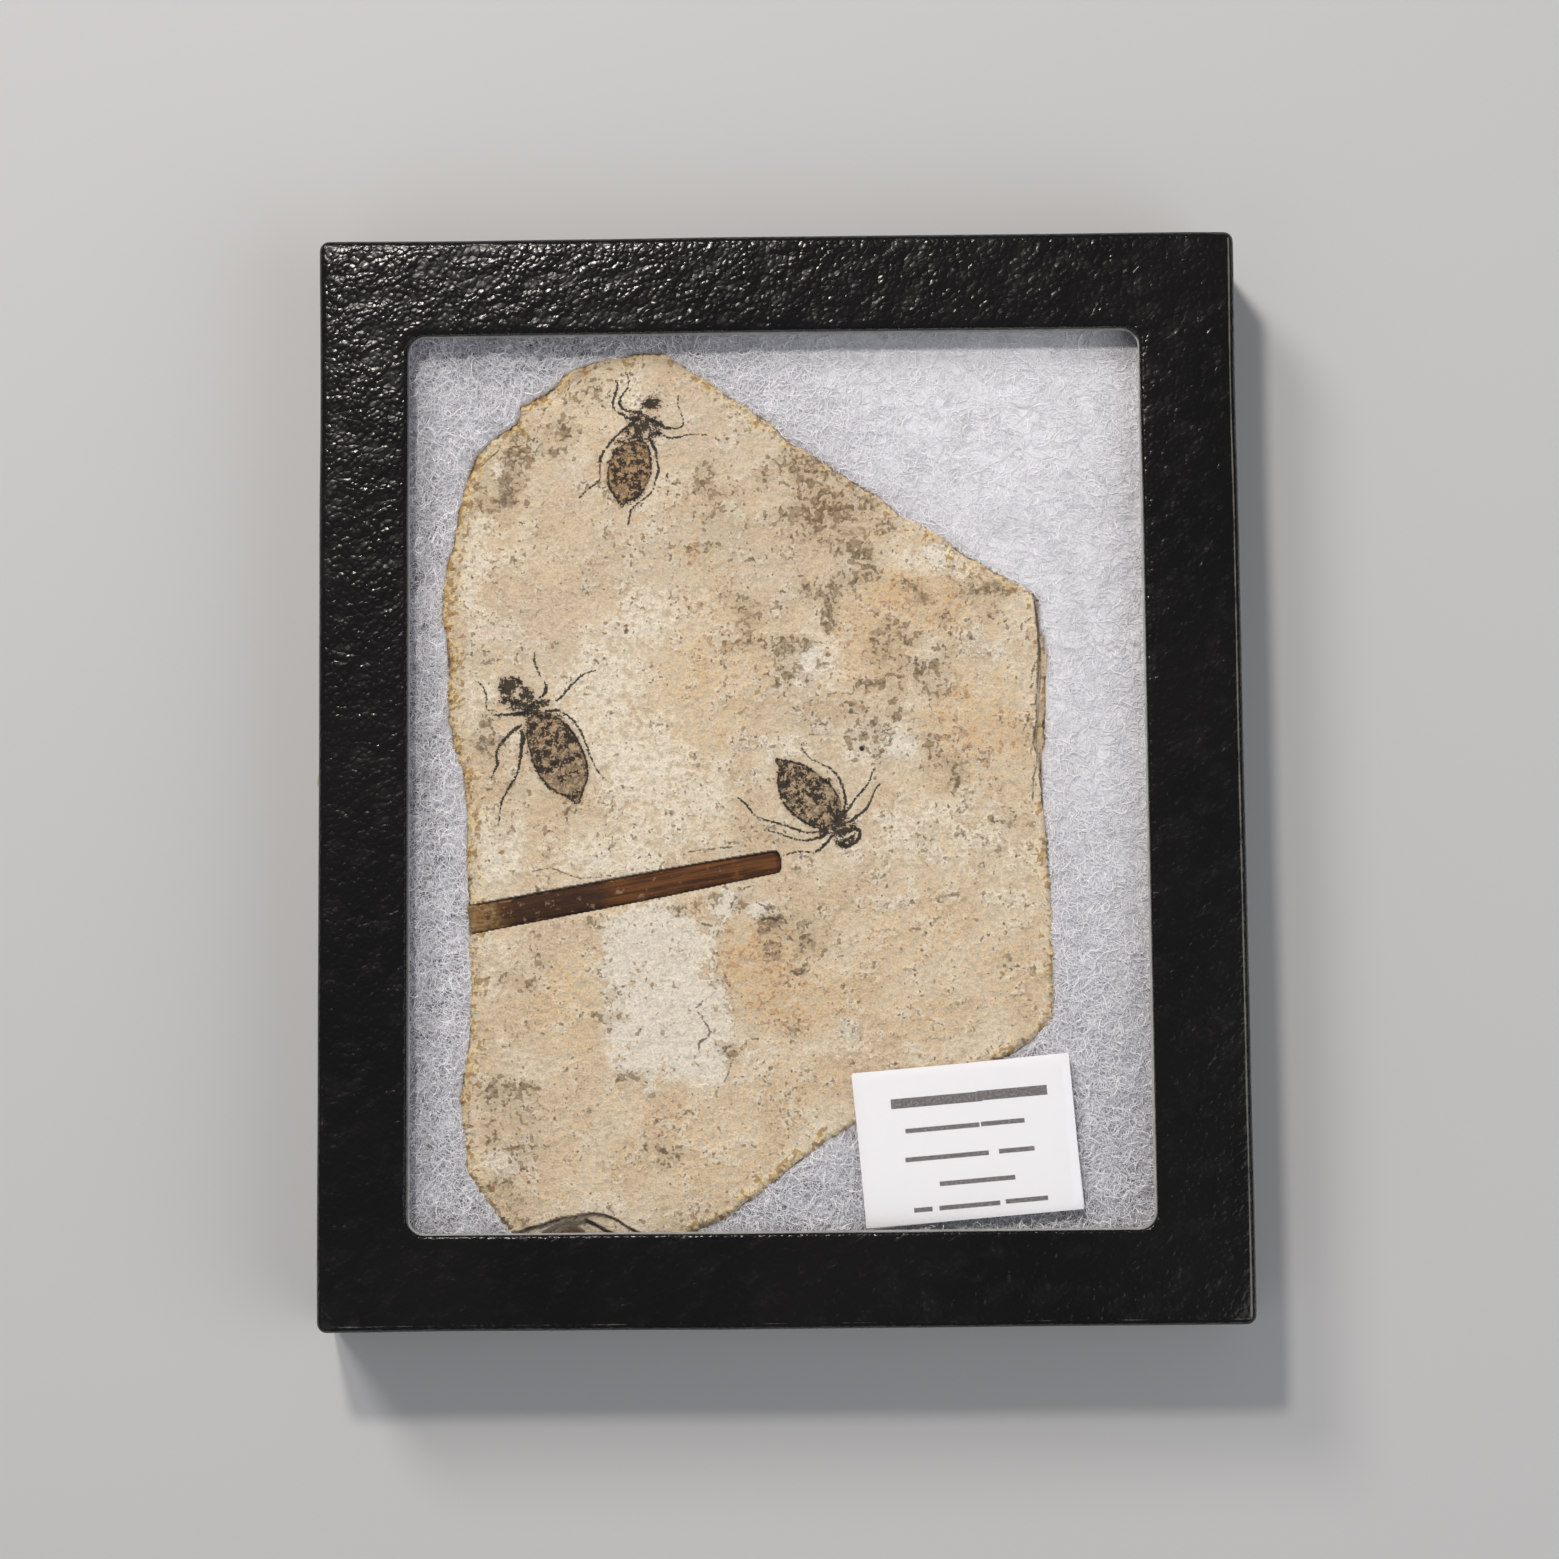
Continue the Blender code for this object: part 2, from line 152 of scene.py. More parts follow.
def hills(x, y, size, layers=3, seed=1):
    total = np.zeros(np.shape(x))
    weight = 0.0
    for layer in range(layers):
        gx = np.asarray(x) / size * 2**layer + 91.7 * seed
        gy = np.asarray(y) / size * 2**layer + 37.3 * seed
        ix, iy = np.floor(gx).astype(np.int64), np.floor(gy).astype(np.int64)
        fx, fy = gx - ix, gy - iy
        fx, fy = fx * fx * (3 - 2 * fx), fy * fy * (3 - 2 * fy)

        def lattice(i, j):
            mixed = (i * 374761393 + j * 668265263 + seed * 144665 + layer * 97531) & 0x7FFFFFFF
            mixed = ((mixed ^ (mixed >> 13)) * 1274126177) & 0x7FFFFFFF
            return (mixed ^ (mixed >> 16)) / 0x7FFFFFFF * 2 - 1

        low = lattice(ix, iy) * (1 - fx) + lattice(ix + 1, iy) * fx
        high = lattice(ix, iy + 1) * (1 - fx) + lattice(ix + 1, iy + 1) * fx
        total += (low * (1 - fy) + high * fy) * 0.5**layer
        weight += 0.5**layer
    return total / weight


def ease(value, low, high):
    share = np.clip((np.asarray(value, float) - low) / (high - low), 0, 1)
    return share * share * (3 - 2 * share)


def strokeDepth(spots, stroke):
    # How many millimetres each spot lies inside a stroke of (x, y, half width) points; outside it is negative
    best = np.full(len(spots), -9.0)
    for (ax, ay, aw), (bx, by, bw) in zip(stroke, stroke[1:]):
        along = np.array([bx - ax, by - ay])
        share = np.clip(((spots - (ax, ay)) @ along) / max(along @ along, 1e-9), 0, 1)
        gap = np.hypot(spots[:, 0] - ax - share * along[0], spots[:, 1] - ay - share * along[1])
        best = np.maximum(best, aw + (bw - aw) * share - gap)
    return best


def shapeDepth(spots, shape):
    # How deep each spot lies inside a closed outline; outside it is negative
    ring = [(x, y, 0.0) for x, y in shape] + [(shape[0][0], shape[0][1], 0.0)]
    gap = -strokeDepth(spots, ring)
    inside = np.zeros(len(spots), bool)
    for (ax, ay, _), (bx, by, _) in zip(ring, ring[1:]):
        crosses = (spots[:, 1] < ay) != (spots[:, 1] < by)
        at = ax + (spots[:, 1] - ay) / (by - ay + 1e-12) * (bx - ax)
        inside ^= crosses & (spots[:, 0] < at)
    return np.where(inside, gap, -gap)


# Small helpers for materials

def newMaterial(name):
    material = bpy.data.materials.new(name)
    material.use_nodes = True
    tree = material.node_tree
    shader = tree.nodes["Principled BSDF"]
    return material, tree, shader


def newGroup(name, inputs, outputs):
    tree = bpy.data.node_groups.new(name, "ShaderNodeTree")
    kinds = {"V": "NodeSocketVector", "F": "NodeSocketFloat", "C": "NodeSocketColor"}
    for label, kind, value in inputs:
        socket = tree.interface.new_socket(name=label, in_out="INPUT", socket_type=kinds[kind])
        if value is not None:
            socket.default_value = value
    for label, kind in outputs:
        tree.interface.new_socket(name=label, in_out="OUTPUT", socket_type=kinds[kind])
    return tree, tree.nodes.new("NodeGroupInput").outputs, tree.nodes.new("NodeGroupOutput").inputs


def place(tree, kind, sockets, **settings):
    made = tree.nodes.new(kind)
    for key, value in settings.items():
        setattr(made, key, value)
    for label, value in sockets.items():
        socket = made.inputs[label]
        if isinstance(value, bpy.types.NodeSocket):
            tree.links.new(value, socket)
        else:
            socket.default_value = value
    return made


def useGroup(tree, group, sockets):
    return place(tree, "ShaderNodeGroup", sockets, node_tree=group).outputs


def calc(tree, what, *values):
    return place(tree, "ShaderNodeMath", dict(enumerate(values)), operation=what).outputs[0]


def band(tree, value, low, high, toLow=0.0, toHigh=1.0):
    # 0 below low, 1 above high, soft between
    sockets = {"Value": value, "From Min": low, "From Max": high, "To Min": toLow, "To Max": toHigh}
    return place(tree, "ShaderNodeMapRange", sockets, interpolation_type="SMOOTHSTEP").outputs[0]


def cloud(tree, spot, size, detail=4.0, rough=0.55, twist=0.0, stretch=None):
    # Noise whose features are about size millimetres across
    if stretch:
        turned = {"Vector": spot, "Rotation": stretch[0], "Scale": stretch[1]}
        spot = place(tree, "ShaderNodeMapping", turned).outputs[0]
    sockets = {"Vector": spot, "Scale": 1000.0 / size, "Detail": detail, "Roughness": rough}
    sockets["Distortion"] = twist
    return place(tree, "ShaderNodeTexNoise", sockets).outputs[0]


def tint(tree, mask, below, above, way="MIX"):
    made = place(tree, "ShaderNodeMix", {}, data_type="RGBA", blend_type=way)
    for index, value in ((0, mask), (6, below), (7, above)):
        if isinstance(value, bpy.types.NodeSocket):
            tree.links.new(value, made.inputs[index])
        elif index:
            made.inputs[index].default_value = (*value, 1.0)
        else:
            made.inputs[index].default_value = value
    return made.outputs[2]


def bumpOn(tree, shader, height, depth):
    # depth is in metres; a Bump node's distance and strength give it
    made = place(tree, "ShaderNodeBump", {"Height": height, "Distance": depth, "Strength": 1.0})
    tree.links.new(made.outputs[0], shader.inputs["Normal"])


def objectSpot(tree):
    return place(tree, "ShaderNodeTexCoord", {}).outputs["Object"]


# Shared effects

grainGroup, given, out = newGroup(
    "leatherGrain",
    [("Vector", "V", None), ("Pebble", "F", 0.7), ("Crease", "F", 4.0)],
    [("Height", "F"), ("Hollow", "F")],
)
links = grainGroup.links
pebbleScale = calc(grainGroup, "DIVIDE", 1000.0, given["Pebble"])
creaseScale = calc(grainGroup, "DIVIDE", 1000.0, given["Crease"])
warp = place(
    grainGroup, "ShaderNodeTexNoise", {"Vector": given["Vector"], "Scale": creaseScale, "Detail": 1.0}
)
bent = place(
    grainGroup,
    "ShaderNodeVectorMath",
    {0: warp.outputs["Color"], 1: (0.0012, 0.0012, 0.0012), 2: given["Vector"]},
    operation="MULTIPLY_ADD",
).outputs[0]
slanted = place(
    grainGroup,
    "ShaderNodeMapping",
    {"Vector": bent, "Rotation": (0, 0, 0.55), "Scale": (1.45, 0.9, 1.0)},
    vector_type="TEXTURE",
).outputs[0]
folds = place(
    grainGroup,
    "ShaderNodeTexNoise",
    {"Vector": slanted, "Scale": creaseScale, "Detail": 3.0, "Roughness": 0.6},
).outputs[0]
cells = place(
    grainGroup, "ShaderNodeTexVoronoi", {"Vector": bent, "Scale": pebbleScale, "Randomness": 1.0}
).outputs["Distance"]
pebbles = calc(grainGroup, "MULTIPLY", calc(grainGroup, "MULTIPLY", cells, cells), -0.36)
links.new(calc(grainGroup, "MULTIPLY_ADD", folds, 1.25, pebbles), out["Height"])
links.new(band(grainGroup, folds, 0.50, 0.36), out["Hollow"])

speckGroup, given, out = newGroup(
    "dustSpecks",
    [("Vector", "V", None), ("Size", "F", 1.6), ("Amount", "F", 0.3)],
    [("Mask", "F")],
)
scale = calc(speckGroup, "DIVIDE", 1000.0, given["Size"])
dots = place(
    speckGroup, "ShaderNodeTexVoronoi", {"Vector": given["Vector"], "Scale": scale, "Randomness": 1.0}
)
pick = place(
    speckGroup, "ShaderNodeSeparateColor", {"Color": dots.outputs["Color"]}
).outputs[0]
chosen = calc(speckGroup, "LESS_THAN", pick, given["Amount"])
radius = calc(speckGroup, "MULTIPLY", pick, 0.35)
dot = calc(speckGroup, "LESS_THAN", dots.outputs["Distance"], radius)
speckGroup.links.new(calc(speckGroup, "MULTIPLY", dot, chosen), out["Mask"])

mottleGroup, given, out = newGroup(
    "mottle",
    [
        ("Vector", "V", None),
        ("Size", "F", 1.4),
        ("Clump", "F", 0.0),
        ("Drive", "F", 0.5),
        ("Edge", "F", 0.08),
    ],
    [("Mask", "F")],
)
scale = calc(mottleGroup, "DIVIDE", 1000.0, given["Size"])
grainy = place(
    mottleGroup,
    "ShaderNodeTexNoise",
    {"Vector": given["Vector"], "Scale": scale, "Detail": 1.0, "Roughness": 0.75},
    noise_dimensions="2D",
).outputs[0]
level = calc(mottleGroup, "MULTIPLY_ADD", calc(mottleGroup, "SUBTRACT", grainy, 0.5), 2.4, given["Drive"])
level = calc(mottleGroup, "MULTIPLY_ADD", given["Clump"], 1.7, level)
low = calc(mottleGroup, "SUBTRACT", 0.5, given["Edge"])
high = calc(mottleGroup, "ADD", 0.5, given["Edge"])
mottleGroup.links.new(band(mottleGroup, level, low, high), out["Mask"])
print("shared effects ready")


# Camera, floor and lights

view = {
    "eye": (5.36, -65.78, 615.2),
    "turn": ((0.9999, 0.01057, 0.00931), (-0.0095, 0.99408, -0.10826), (-0.0104, 0.10816, 0.99408)),
    "lens": 91.79,
}
cameraData = bpy.data.cameras.new("camera")
cameraData.lens = view["lens"]
cameraData.sensor_width = 36
cameraData.clip_start = 0.01
cameraData.clip_end = 20
camera = bpy.data.objects.new("camera", cameraData)
bpy.context.scene.collection.objects.link(camera)
camera.matrix_world = Matrix.Translation(Vector(view["eye"]) * mm) @ Matrix(view["turn"]).to_4x4()
bpy.context.scene.camera = camera

studio = {
    "floorColour": (0.90, 0.90, 0.90),
    "sky": (0.93, 0.95, 1.0),
    "skyStrength": 0.13,
    "offGlass": ("key", "sheen"),
    "lamps": {
        "key": {"at": (-0.95, 1.36, 1.20), "size": 0.6, "power": 10.2, "colour": (1.0, 0.975, 0.94)},
        "sheen": {"at": (-0.17, 0.41, 0.66), "size": 0.09, "power": 1.7, "colour": (1.0, 0.94, 0.87)},
        "fill": {"at": (0.75, -0.35, 0.75), "size": 1.0, "power": 2.3, "colour": (0.95, 0.97, 1.0)},
        "soft": {"at": (-0.70, -0.75, 0.80), "size": 1.1, "power": 1.0, "colour": (0.95, 0.97, 1.0)},
    },
}


def addLamp(name, plan):
    data = bpy.data.lights.new(name, "AREA")
    data.shape = "DISK"
    data.size = plan["size"]
    data.energy = plan["power"]
    data.color = plan["colour"]
    lamp = bpy.data.objects.new(name, data)
    bpy.context.scene.collection.objects.link(lamp)
    lamp.location = plan["at"]
    lamp.rotation_euler = (Vector((0, 0, 0)) - Vector(plan["at"])).to_track_quat("-Z", "Y").to_euler()
    return lamp


# The two small bright lamps light everything except the pane, so that no white disc stands in it
offGlass = bpy.data.collections.new("off the glass")
offGlass.objects.link(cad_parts["glass_pane"])
offGlass.collection_objects[0].light_linking.link_state = "EXCLUDE"
for name, plan in studio["lamps"].items():
    lamp = addLamp(name, plan)
    if name in studio["offGlass"]:
        lamp.light_linking.receiver_collection = offGlass
world = bpy.data.worlds.new("studio")
bpy.context.scene.world = world
world.use_nodes = True
world.node_tree.nodes["Background"].inputs["Color"].default_value = (*studio["sky"], 1)
world.node_tree.nodes["Background"].inputs["Strength"].default_value = studio["skyStrength"]
bpy.context.scene.view_settings.view_transform = "Standard"

deselectAll()
bpy.ops.mesh.primitive_plane_add(size=8, location=(0, 0, 0))
floor = bpy.context.object
floor.name = "floor"
material, tree, shader = newMaterial("pale floor")
shader.inputs["Base Color"].default_value = (*studio["floorColour"], 1)
shader.inputs["Roughness"].default_value = 0.7
floor.data.materials.append(material)
print("studio ready")


# Lid: board covered in black leather-grained paper, with a window

lidPlan = {
    "half": (70.0, 83.0),
    "top": 19.0,
    "rim": 1.2,
    "outerCorner": 1.5,
    "roundOver": 1.15,
    "wall": 1.5,
    "faceUnder": 17.4,
    "window": (56.0, 68.5),
    "windowCentre": (-0.55, -0.3),
    "windowCorner": 2.7,
    "waver": 0.13,
    "lip": ((0.05, 0.3), (0.16, 0.14), (0.34, 0.04), (0.62, 0.0)),  # outward and drop, round the window
    "hem": ((0.12, 0.12), (0.4, 0.0), (1.1, 0.0), (1.4, 0.12), (1.5, 0.4)),  # inset and rise, at the rim
    "colour": (0.0075, 0.0068, 0.0064),
    "worn": (0.30, 0.27, 0.235),
    "pebble": 0.85,
    "crease": 3.4,
    "grain": 0.0002,
}


def lidRing(share, height, outward=0.0, inset=0.0):
    # share runs from 0 at the window to 1 at the outer edge
    plan = lidPlan
    window = tuple(side + outward for side in plan["window"])
    inner = roundedRing(window, plan["windowCorner"] + outward, height, plan["windowCentre"])
    outer = tuple(side - inset for side in plan["half"])
    outer = roundedRing(outer, max(0.25, plan["outerCorner"] - inset), height)
    return inner * (1 - share) + outer * share


def buildLid():
    plan = lidPlan
    top, under = plan["top"], plan["faceUnder"]
    rings = [lidRing(0, under + 0.02), lidRing(0, under + 0.5), lidRing(0, top - 0.5)]
    for outward, drop in plan["lip"]:
        rings.append(lidRing(0, top - drop, outward=outward))
    for i in range(1, 12):
        share = i / 12
        outward = plan["lip"][-1][0] * (1 - share)
        rings.append(lidRing(share, top + 0.05 * math.sin(math.pi * share), outward, 1.3 * share))
    over = plan["roundOver"]
    for i in range(7):
        angle = math.radians(90) * i / 6
        rings.append(lidRing(1, top - over * (1 - math.cos(angle)), inset=over * (1 - math.sin(angle))))
    for i in range(1, 11):
        rings.append(lidRing(1, top - over - (top - over - plan["rim"] - 0.4) * i / 10))
    for inset, rise in plan["hem"]:
        rings.append(lidRing(1, plan["rim"] + rise, inset=inset))
    for height in (6.0, 12.0, under):
        rings.append(lidRing(1, height, inset=plan["wall"]))
    for share in (0.75, 0.5, 0.25, 0.06):
        rings.append(lidRing(share, under, inset=plan["wall"] * share))
    rings.append(rings[0])
    piece = growRings(rings, "join")
    spots = cornersOf(piece)
    x, y, z = spots.T
    waver = plan["waver"]
    acrossX, acrossY = abs(x) / plan["half"][0], abs(y) / plan["half"][1]
    outside = ease(np.maximum(acrossX, acrossY), 0.8, 1.0)
    inset = np.minimum(plan["half"][0] - abs(x), plan["half"][1] - abs(y))
    line = np.clip(1 - abs(inset - 0.85) / 0.29, 0, 1) * (z > 18)
    side = np.where(acrossX > acrossY, np.where(x > 0, 1.0, 0.45), np.where(y > 0, 0.4, 0.6))
    spots[:, 0] += waver * hills(y, z, 26, 2, seed=4) * np.sign(x)
    spots[:, 1] += waver * hills(x, z, 30, 2, seed=5) * np.sign(y)
    spots[:, 2] += 0.07 * hills(x, y, 22, 3, seed=6) * (z > under + 0.1)
    corner = ease(np.hypot(np.maximum(abs(x) - 62, 0) / 8, np.maximum(abs(y) - 75, 0) / 8), 0.9, 1.35)
    spots[:, 2] -= 0.35 * corner * outside * (z > 17) * (0.5 + hills(x, y, 60, 1, seed=8))
    moveCorners(piece, spots)

    # How worn each spot is: a thin line where the face turns over, clearest on the right, and the corners
    worn = piece.data.attributes.new("worn", "FLOAT", "POINT")
    worn.data.foreach_set("value", np.maximum(line * side, 0.5 * corner * ease(z, 17.4, 18.8)))
    return piece


def leatherPaper(name, colour, wornColour, pebble, crease, depth):
    material, tree, shader = newMaterial(name)
    spot = objectSpot(tree)
    grain = useGroup(tree, grainGroup, {"Vector": spot, "Pebble": pebble, "Crease": crease})
    dust = useGroup(tree, speckGroup, {"Vector": spot, "Size": 2.3, "Amount": 0.06})["Mask"]
    smudgeNoise = cloud(tree, spot, 6.0, 5.0, 0.7)
    smudge = band(tree, smudgeNoise, 0.62, 0.72)
    worn = place(tree, "ShaderNodeAttribute", {}, attribute_name="worn").outputs["Fac"]
    rubbed = calc(tree, "MULTIPLY_ADD", calc(tree, "SUBTRACT", smudgeNoise, 0.5), 1.3, worn)
    rubbed = band(tree, rubbed, 0.55, 0.8)
    tone = band(tree, cloud(tree, spot, 24.0, 3.0), 0.3, 0.7)
    base = tint(tree, tone, colour, tuple(value * 1.5 for value in colour))
    base = tint(tree, calc(tree, "MULTIPLY", smudge, 0.10), base, (0.10, 0.095, 0.09))
    base = tint(tree, calc(tree, "MULTIPLY", rubbed, 0.8), base, wornColour)
    base = tint(tree, calc(tree, "MULTIPLY", dust, 0.55), base, (0.5, 0.48, 0.45))
    tree.links.new(base, shader.inputs["Base Color"])
    gloss = calc(tree, "MULTIPLY_ADD", grain["Hollow"], 0.10, 0.19)
    gloss = calc(tree, "MULTIPLY_ADD", smudge, 0.12, gloss)
    tree.links.new(gloss, shader.inputs["Roughness"])
    shader.inputs["Specular IOR Level"].default_value = 0.45
    bumpOn(tree, shader, grain["Height"], depth)
    return material


lid = buildLid()
leather = leatherPaper(
    "black leathercloth",
    lidPlan["colour"],
    lidPlan["worn"],
    lidPlan["pebble"],
    lidPlan["crease"],
    lidPlan["grain"],
)
finishPiece(lid, "lid_cover", leather, "lid", 50)


# Liner: the pale inner board whose edge shows all round the window

linerPlan = {"shows": 0.27, "under": 3.5, "low": 17.16, "high": 17.36, "slope": 0.01}
linerRings = []
for outward, height in (
    (-linerPlan["shows"], linerPlan["low"]),
    (-linerPlan["shows"], linerPlan["high"]),
    (linerPlan["under"], linerPlan["high"] + linerPlan["slope"]),
    (linerPlan["under"], linerPlan["low"] - 2 * linerPlan["slope"]),
):
    half = tuple(side + outward for side in lidPlan["window"])
    corner = lidPlan["windowCorner"] + outward
    linerRings.append(roundedRing(half, corner, height, lidPlan["windowCentre"]))
liner = growRings(linerRings + linerRings[:1], "join")
material, tree, shader = newMaterial("raw board edge")
spot = objectSpot(tree)
patchy = band(tree, cloud(tree, spot, 2.5, 5.0, 0.7), 0.3, 0.7)
tree.links.new(tint(tree, patchy, (0.62, 0.60, 0.57), (0.90, 0.89, 0.87)), shader.inputs["Base Color"])
shader.inputs["Roughness"].default_value = 0.7
finishPiece(liner, "window_liner", material)


# Tray: the shallow inner box, of the same paper

trayPlan = {
    "half": (68.1, 81.1),
    "top": 15.0,
    "wall": 1.5,
    "corner": 0.9,
    "sheetInset": 5.0,
    "sheetRise": 0.14,
    "colour": (0.013, 0.0125, 0.012),
    "worn": (0.10, 0.09, 0.08),
    "pebble": 0.6,
    "crease": 3.0,
    "grain": 0.00016,
}


def buildTray():
    plan = trayPlan

    def ring(inset, height):
        half = tuple(side - inset for side in plan["half"])
        return roundedRing(half, max(0.3, plan["corner"] - inset), height, perSide=(40, 46), perCorner=5)

    sheet, rise, wall, top = plan["sheetInset"], plan["sheetRise"], plan["wall"], plan["top"]
    rings = [ring(sheet + 1.0, 0.0), ring(sheet, 0.0), ring(sheet - 0.05, rise), ring(sheet - 2, rise)]
    rings += [ring(1.2, rise), ring(0.5, rise + 0.06), ring(0.12, rise + 0.35), ring(0, rise + 0.8)]
    rings += [ring(0, height) for height in (3.5, 7.0, 11.0, top - 0.5)]
    rings += [ring(0.15, top - 0.12), ring(0.45, top), ring(wall - 0.4, top), ring(wall, top - 0.3)]
    rings += [ring(wall, height) for height in (9.0, 4.0, 1.7)]
    return growRings(rings, "cap")


tray = buildTray()
trayPaper = leatherPaper(
    "black tray paper",
    trayPlan["colour"],
    trayPlan["worn"],
    trayPlan["pebble"],
    trayPlan["crease"],
    trayPlan["grain"],
)
finishPiece(tray, "tray_box", trayPaper, "tray", 40)
print("case ready")


# Glass pane: the CAD pane stays, and lets the lamps through

panePlan = {
    "colour": (0.985, 0.995, 0.99),
    "ior": 1.5,
    "lets": (1.38, 1.375, 1.365),  # how much lamp light each face lets in, raised so that the plate isn't dim
}
material, tree, shader = newMaterial("window glass")
shader.inputs["Base Color"].default_value = (*panePlan["colour"], 1)
shader.inputs["Roughness"].default_value = 0.0
shader.inputs["IOR"].default_value = panePlan["ior"]
shader.inputs["Transmission Weight"].default_value = 1.0
clear = place(tree, "ShaderNodeBsdfTransparent", {"Color": (*panePlan["lets"], 1)})
lightPath = place(tree, "ShaderNodeLightPath", {})
both = place(tree, "ShaderNodeMixShader", {})
tree.links.new(lightPath.outputs["Is Shadow Ray"], both.inputs[0])
tree.links.new(shader.outputs[0], both.inputs[1])
tree.links.new(clear.outputs[0], both.inputs[2])
tree.links.new(both.outputs[0], tree.nodes["Material Output"].inputs["Surface"])
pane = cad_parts["glass_pane"]
pane.data.materials.clear()
pane.data.materials.append(material)


# The plate's drawing sheet: steps of about 0.15 mm, counted right and down. onPlate carries a point of the
# sheet to millimetres on the plate's face. The sheet's far end is drawn a little smaller than its near end.

sheet = {
    "middle": (800, 800),
    "x": (2.82, 0.15194, 0.00146),
    "y": (-3.52, -0.00162, 0.15284),
    "taper": (2.6e-6, -2.74e-5),
    "step": 0.153,
}


def onPlate(points):
    given = np.array(points, float)
    u = given[:, 0] - sheet["middle"][0]
    v = sheet["middle"][1] - given[:, 1]
    shrink = 1 + sheet["taper"][0] * u + sheet["taper"][1] * v
    moved = given.copy()
    moved[:, 0] = (sheet["x"][0] + sheet["x"][1] * u + sheet["x"][2] * v) / shrink
    moved[:, 1] = (sheet["y"][0] + sheet["y"][1] * u + sheet["y"][2] * v) / shrink
    moved[:, 2:] *= sheet["step"]
    return moved


